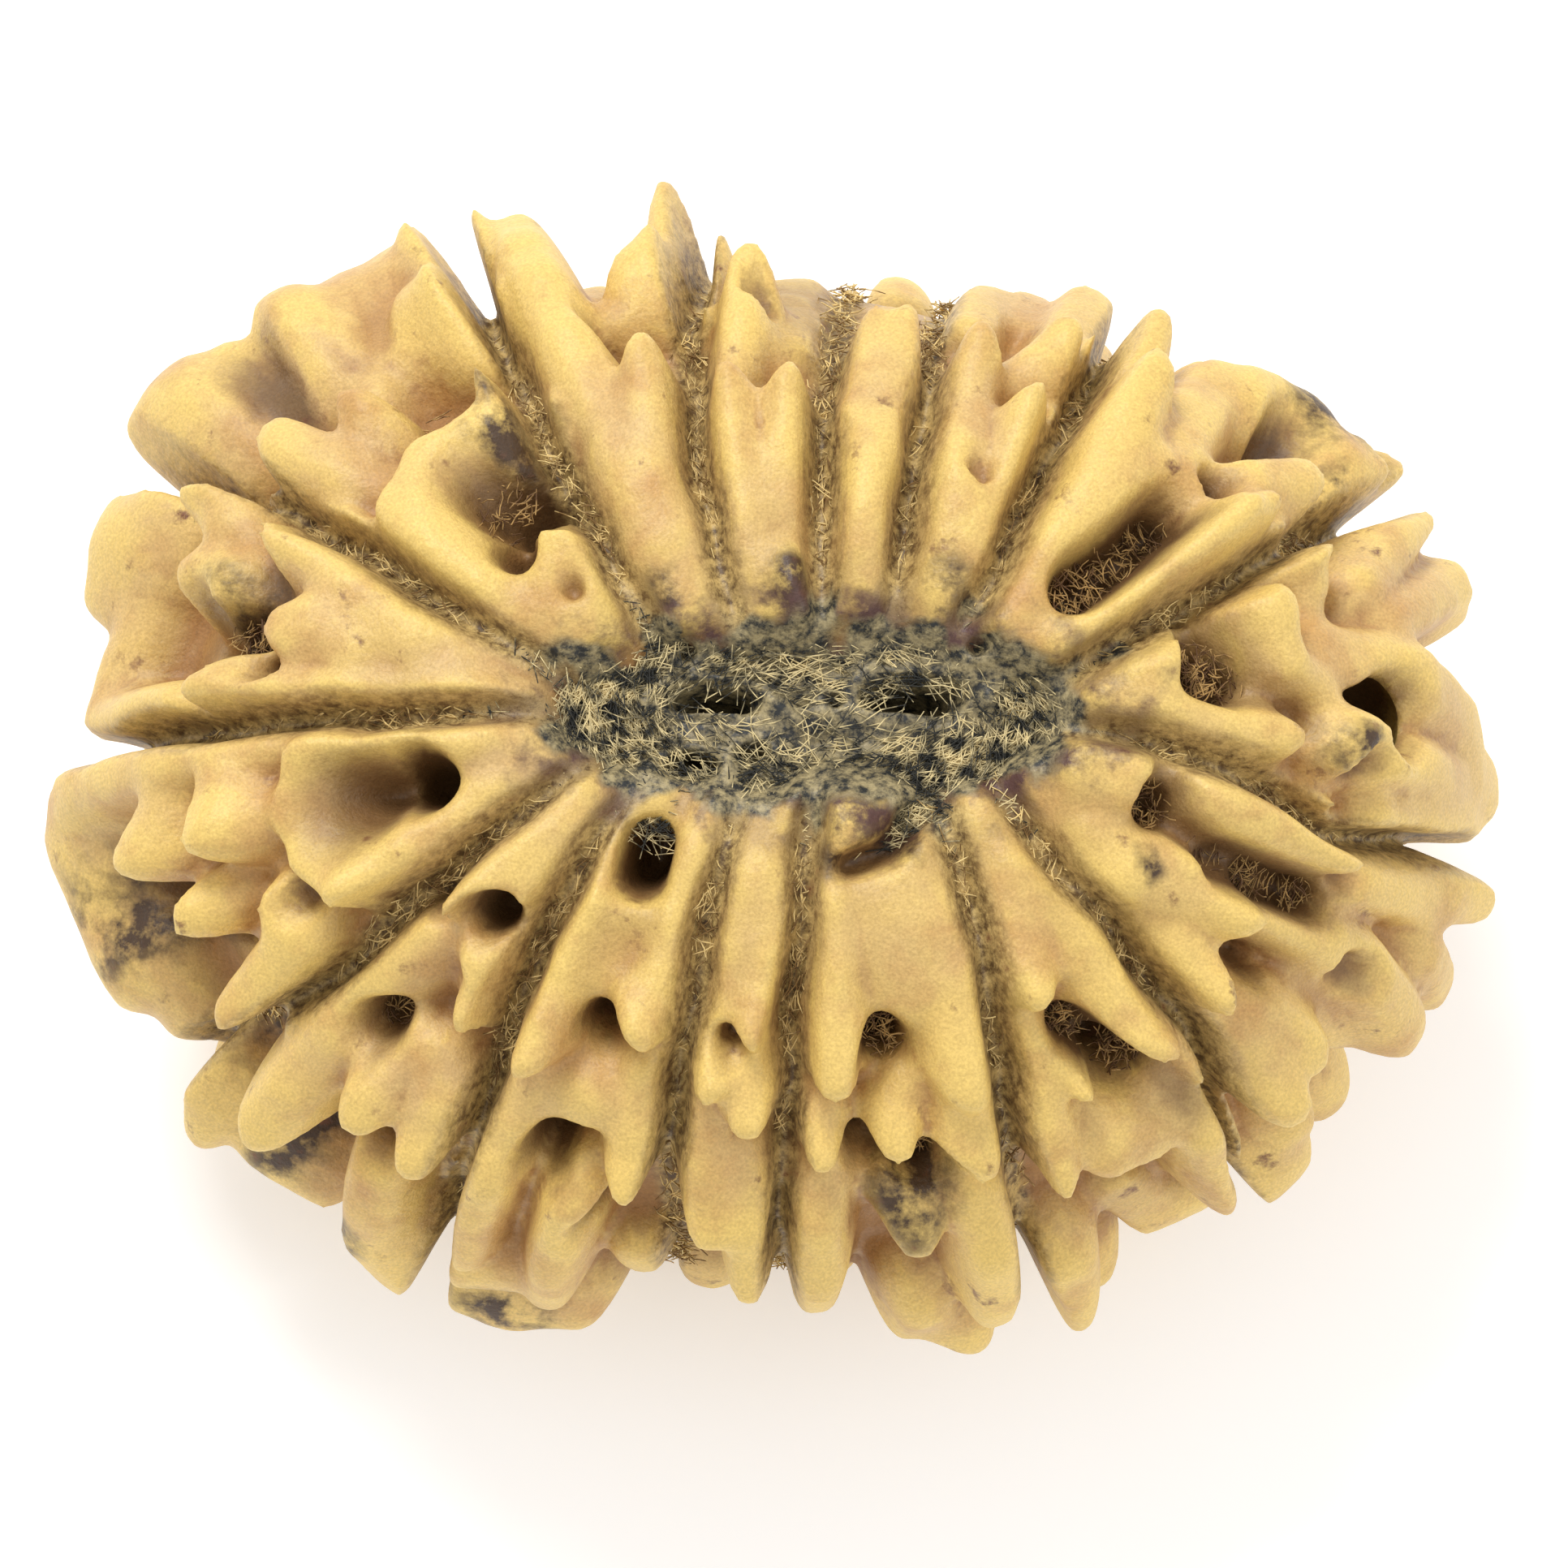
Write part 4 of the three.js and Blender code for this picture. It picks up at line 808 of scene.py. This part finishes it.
def shell_material():
    nodes = MaterialNodes("stony shell")
    where = nodes.add("ShaderNodeTexCoord").outputs["Object"]
    lift, groove = nodes.attribute("lift"), nodes.attribute("groove")
    pit, felt, stain = nodes.attribute("pit"), nodes.attribute("felt"), nodes.attribute("stain")
    broad = nodes.noise(where, 260, 4, 0.5)
    blotch = nodes.noise(where, 900, 6, 0.65)
    grain = nodes.noise(where, 16000, 3, 0.5)
    cloud = nodes.noise(where, 520, 5, 0.6)
    wrinkles = nodes.noise(where, 2400, 4, 0.6)
    fibres = nodes.noise(where, 3600, 5, 0.7)
    # Darker low down, lighter on the crests: partly the stone's own browner valleys, partly painted shade in the
    # deep parts
    base = nodes.mix(nodes.spread(lift, 0.02, 0.6), colour(154, 118, 66), colour(232, 196, 112))
    base = nodes.mix(nodes.spread(broad, 0.40, 0.64), base, colour(216, 180, 118))
    # Painted light: lighter where a spot stands above its surroundings
    base = nodes.mix(nodes.spread(nodes.attribute("edge"), 0.3, 1.3), base, colour(238, 204, 114))
    # Painted shade in the hollows, partly also the brown that the stone has there
    hollow_brown_and_shade = nodes.mix(nodes.spread(broad, 0.38, 0.62), colour(180, 132, 76), colour(158, 110, 68))
    base = nodes.mix(nodes.spread(nodes.attribute("hollow"), 0.1, 1.25), base, hollow_brown_and_shade)
    base = nodes.mix(nodes.spread(cloud, 0.50, 0.72), base, colour(204, 158, 92))
    # Darker in the pits and the holes of the felt: partly brown stain, partly painted shade
    base = nodes.mix(nodes.spread(pit, 0.1, 0.9), base, colour(110, 80, 46))
    ragged_mark = nodes.times(nodes.attribute("mark"), nodes.spread(blotch, 0.36, 0.60))
    base = nodes.mix(nodes.spread(ragged_mark, 0.15, 0.75), base, colour(74, 52, 30))
    thread = nodes.mix(nodes.spread(fibres, 0.38, 0.60), colour(104, 80, 48), colour(214, 184, 118))
    base = nodes.mix(nodes.spread(groove, 0.25, 0.85), base, thread)
    base = nodes.mix(nodes.spread(blotch, 0.63, 0.73), base, colour(120, 74, 48))
    stained = nodes.times(nodes.spread(blotch, 0.40, 0.62), nodes.spread(stain, 0.3, 1.0))
    base = nodes.mix(nodes.spread(stained, 0.15, 0.6), base, colour(92, 62, 56))
    matted = nodes.mix(nodes.spread(fibres, 0.40, 0.62), colour(40, 42, 42), colour(176, 160, 118))
    base = nodes.mix(nodes.spread(felt, 0.2, 0.7), base, matted)
    fine = nodes.mix(nodes.spread(grain, 0.3, 0.7), colour(226, 224, 222), colour(255, 255, 255))
    base = nodes.mix(1.0, base, fine, blend="MULTIPLY")
    nodes.link(base, nodes.shader.inputs["Base Color"])
    nodes.shader.inputs["Roughness"].default_value = 0.5
    waves = nodes.add("ShaderNodeBump", {"Height": wrinkles, "Strength": 0.5, "Distance": 0.00012})
    bump = nodes.add("ShaderNodeBump", {"Height": grain, "Normal": waves.outputs["Normal"], "Strength": 0.3,
                                        "Distance": 0.00003})
    nodes.link(bump.outputs["Normal"], nodes.shader.inputs["Normal"])
    return nodes.material


bead.data.materials.append(shell_material())
glossy = tone_material("glossy seed", colour(46, 24, 14), colour(88, 50, 28), 1500.0, 3.0, 0.35, 0.65, 0.18)
seed.data.materials.append(glossy)
print("materials:", [material.name for material in bpy.data.materials])

# %% [markdown]
# Dried fibre of the fruit fills the grooves and some pits, and mats the upper pole. Hair particles would be
# less work, but they leave no mesh. So short curves with a round section are bent at random and made into
# meshes.

# %% Fibre
random.seed(5)
BENDS = 3
SHORTEST, LONGEST = 0.5, 1.4
CURL = 0.6
TIP_SHARE, BELLY_SHARE = 0.6, 0.4
# Fibre keeps this far over the floor, in millimetres
LOWEST_FIBRE = 0.6
# How thick the fibre lies in the grooves and as felt, how far the felt reaches, and how far it clears a hole
GROOVE_THICK, FELT_THICK, FELT_TILT, HOLE_CLEAR = 0.28, 0.25, 16, 1.15


def strands(name, roots, length, thickness, rise, material):
    """Curly strands, each from a root spot in its direction. Rise says how far they lift off."""
    curve = bpy.data.curves.new(name, "CURVE")
    curve.dimensions = "3D"
    curve.bevel_depth = thickness * MM
    curve.bevel_resolution = 0
    curve.use_fill_caps = True
    for spot, direction, up in roots:
        step = length * random.uniform(SHORTEST, LONGEST) / BENDS
        at = Vector(spot) - direction * step * 2
        bend = up.cross(direction).normalized()
        line = curve.splines.new("POLY")
        line.points.add(BENDS)
        heading = direction.copy()
        for k, point in enumerate(line.points):
            point.co = (*(at * MM), 1)
            point.radius = TIP_SHARE + BELLY_SHARE * math.sin(math.pi * (k + 0.5) / (BENDS + 1))
            heading = heading + bend * random.uniform(-CURL, CURL) + up * random.uniform(-rise, rise)
            heading.normalize()
            at = at + heading * step
    holder = bpy.data.objects.new(name, curve)
    bpy.context.scene.collection.objects.link(holder)
    depsgraph = bpy.context.evaluated_depsgraph_get()
    mesh = bpy.data.meshes.new_from_object(holder.evaluated_get(depsgraph))
    bpy.data.objects.remove(holder)
    mesh.name = name
    obj = bpy.data.objects.new(name, mesh)
    bpy.context.scene.collection.objects.link(obj)
    obj.data.materials.clear()
    obj.data.materials.append(material)
    print(name, "triangles:", triangles_of(obj.data))
    return obj


def spot_on(turn, tilt, height):
    """A spot, its outward direction and the direction down the rib."""
    spot = Vector(place(turn, tilt, height))
    up = (Vector(place(turn, tilt, height + 0.5)) - spot).normalized()
    down = (Vector(place(turn, tilt + 1, height)) - spot).normalized()
    return spot, up, down


def groove_roots(count, first, last):
    roots = []
    for _ in range(count):
        index = random.randrange(len(GROOVES))
        at = random.uniform(first, last)
        side = random.gauss(0, 0.12)
        ground_at = float(between(UPPER_GROUND, at) if at < 90 else between(LOWER_GROUND, 180 - at))
        low = min(ground_at, GROOVE_LEVEL)
        spot, up, down = spot_on(float(groove_turn(index, at)), at, low + random.uniform(0.0, GROOVE_THICK))
        if spot.z < LOWEST_FIBRE:
            continue
        across = up.cross(down).normalized()
        direction = (down + across * random.gauss(0, 0.6) + up * random.gauss(0, 0.15)).normalized()
        roots.append((spot + across * side, direction, up))
    return roots


# The pits that still hold fibre, by rib
FIBRE_PITS = {"east": [2], "fork": [0, 1], "sickle": [1, 3], "arrow": [0], "south west": [1],
              "shield": [0, 3], "south east": [0], "lozenge": [0, 1]}


def pit_roots(count):
    pits = []
    for rib in RIBS:
        for number in FIBRE_PITS.get(rib["name"], []):
            radius, depth, *points = rib["pits"][number]
            pits += [(radius, depth, point) for point in points]
    roots = []
    for _ in range(count):
        radius, depth, (turn_at, tilt_at) = random.choice(pits)
        spot, up, down = spot_on(turn_at, tilt_at, random.uniform(-0.3, 0.3))
        across = up.cross(down).normalized()
        reach = radius * math.sqrt(random.random())
        angle = random.uniform(0, 2 * math.pi)
        place_at = spot + across * reach * math.cos(angle) + down * reach * math.sin(angle)
        direction = down * random.gauss(0, 1) + across * random.gauss(0, 1) + up * random.gauss(0, 0.3)
        roots.append((place_at, direction.normalized(), up))
    return roots


def in_pole_hole(spot):
    reaches = [math.hypot((spot.x - x) / half_x, (spot.y - y) / half_y)
               for x, y, half_x, half_y, _ in POLE_HOLES]
    return min(reaches) < HOLE_CLEAR


def pole_roots(count):
    roots = []
    for _ in range(count):
        turn_at = random.uniform(0, 360)
        tilt_at = FELT_TILT * math.sqrt(random.random())
        root_height = float(between(UPPER_GROUND, tilt_at)) + random.uniform(0, FELT_THICK)
        spot, up, down = spot_on(turn_at, tilt_at, root_height)
        if in_pole_hole(spot):
            continue
        across = up.cross(down).normalized()
        direction = (across + down * random.gauss(0, 0.6) + up * random.gauss(0, 0.1)).normalized()
        roots.append((spot, direction, up))
    return roots


FIBRE_LOOK = dict(scale=2600.0, detail=4.0, low=0.42, high=0.60, roughness=0.8)
straw = tone_material("straw fibre", colour(128, 98, 54), colour(240, 212, 144), **FIBRE_LOOK)
brown = tone_material("brown fibre", colour(96, 66, 38), colour(186, 150, 92), **FIBRE_LOOK)
matted = tone_material("grey felt", colour(44, 44, 40), colour(232, 212, 158), **FIBRE_LOOK)
groove_fibre = strands("groove_fibre", groove_roots(7000, 12, 145), 0.6, 0.016, 0.25, straw)
pocket_fibre = strands("pocket_fibre", pit_roots(1600), 0.45, 0.016, 0.3, brown)
pole_fibre = strands("pole_felt", pole_roots(7000), 1.1, 0.014, 0.12, matted)

# %% [markdown]
# The bead is one rigid thing, so every piece rides on the one body. The stone and the seed take the place of
# the two solids. The fibre has no solid, because it carries nothing.

# %% Bodies, and the solids hidden
for piece, slot in ((bead, "shell"), (seed, "seed"), (groove_fibre, "dried_fibre"),
                    (pocket_fibre, "dried_fibre"), (pole_fibre, "dried_fibre")):
    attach(piece, "root")
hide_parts("bead")
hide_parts("seed")
print("pieces:", [piece.name for piece in (bead, seed, groove_fibre, pocket_fibre, pole_fibre)])

# %% [markdown]
# The bead lies on white ground and is seen from above, in soft light that comes from behind. One wide lamp
# alone would leave the front too dark. So a lamp behind gives the shading, a weak one in front and the bright world
# soften it, and the ground shines a little so that it stays white.

# %% Floor, light and camera
floor_mesh = bpy.data.meshes.new("floor")
form = bmesh.new()
bmesh.ops.create_grid(form, x_segments=1, y_segments=1, size=1.0)
form.to_mesh(floor_mesh)
form.free()
floor = bpy.data.objects.new("floor", floor_mesh)
bpy.context.scene.collection.objects.link(floor)
pale = MaterialNodes("pale floor")
pale.shader.inputs["Base Color"].default_value = colour(255, 255, 255)
pale.shader.inputs["Emission Color"].default_value = colour(255, 255, 255)
pale.shader.inputs["Emission Strength"].default_value = 0.22
pale.shader.inputs["Roughness"].default_value = 0.9
floor_mesh.materials.append(pale.material)

world = bpy.data.worlds.new("soft white")
bpy.context.scene.world = world
world.use_nodes = True
world.node_tree.nodes["Background"].inputs["Color"].default_value = (1, 1, 1, 1)
world.node_tree.nodes["Background"].inputs["Strength"].default_value = 0.74
bpy.context.scene.view_settings.view_transform = "Standard"


def area_light(name, offset, size, power):
    light = bpy.data.lights.new(name, "AREA")
    light.size = size
    light.energy = power
    holder = bpy.data.objects.new(name, light)
    holder.location = Vector(offset)
    holder.rotation_euler = (-Vector(offset)).to_track_quat("-Z", "Y").to_euler()
    bpy.context.scene.collection.objects.link(holder)


area_light("key", (-0.07, 0.18, 0.26), 0.12, 0.66)
area_light("fill", (0.20, -0.10, 0.25), 0.25, 0.2)

BODY_CENTRE = Vector((0, 0, REST_DEPTH)) * MM
DISTANCE = 0.260
ELEVATION = math.radians(77)
camera_data = bpy.data.cameras.new("camera")
camera_data.sensor_width = 36
camera_data.lens = 290
camera_data.clip_start = 0.01
camera = bpy.data.objects.new("camera", camera_data)
bpy.context.scene.collection.objects.link(camera)
backward = Vector((0, -math.cos(ELEVATION), math.sin(ELEVATION)))
upward = Vector((0, math.sin(ELEVATION), math.cos(ELEVATION)))
target = BODY_CENTRE + Vector((0.234, 0, 0)) * MM - upward * 0.268 * MM
camera.location = target + backward * DISTANCE
camera.rotation_euler = backward.to_track_quat("Z", "Y").to_euler()
bpy.context.scene.camera = camera
print("camera at", [round(value, 4) for value in camera.location])
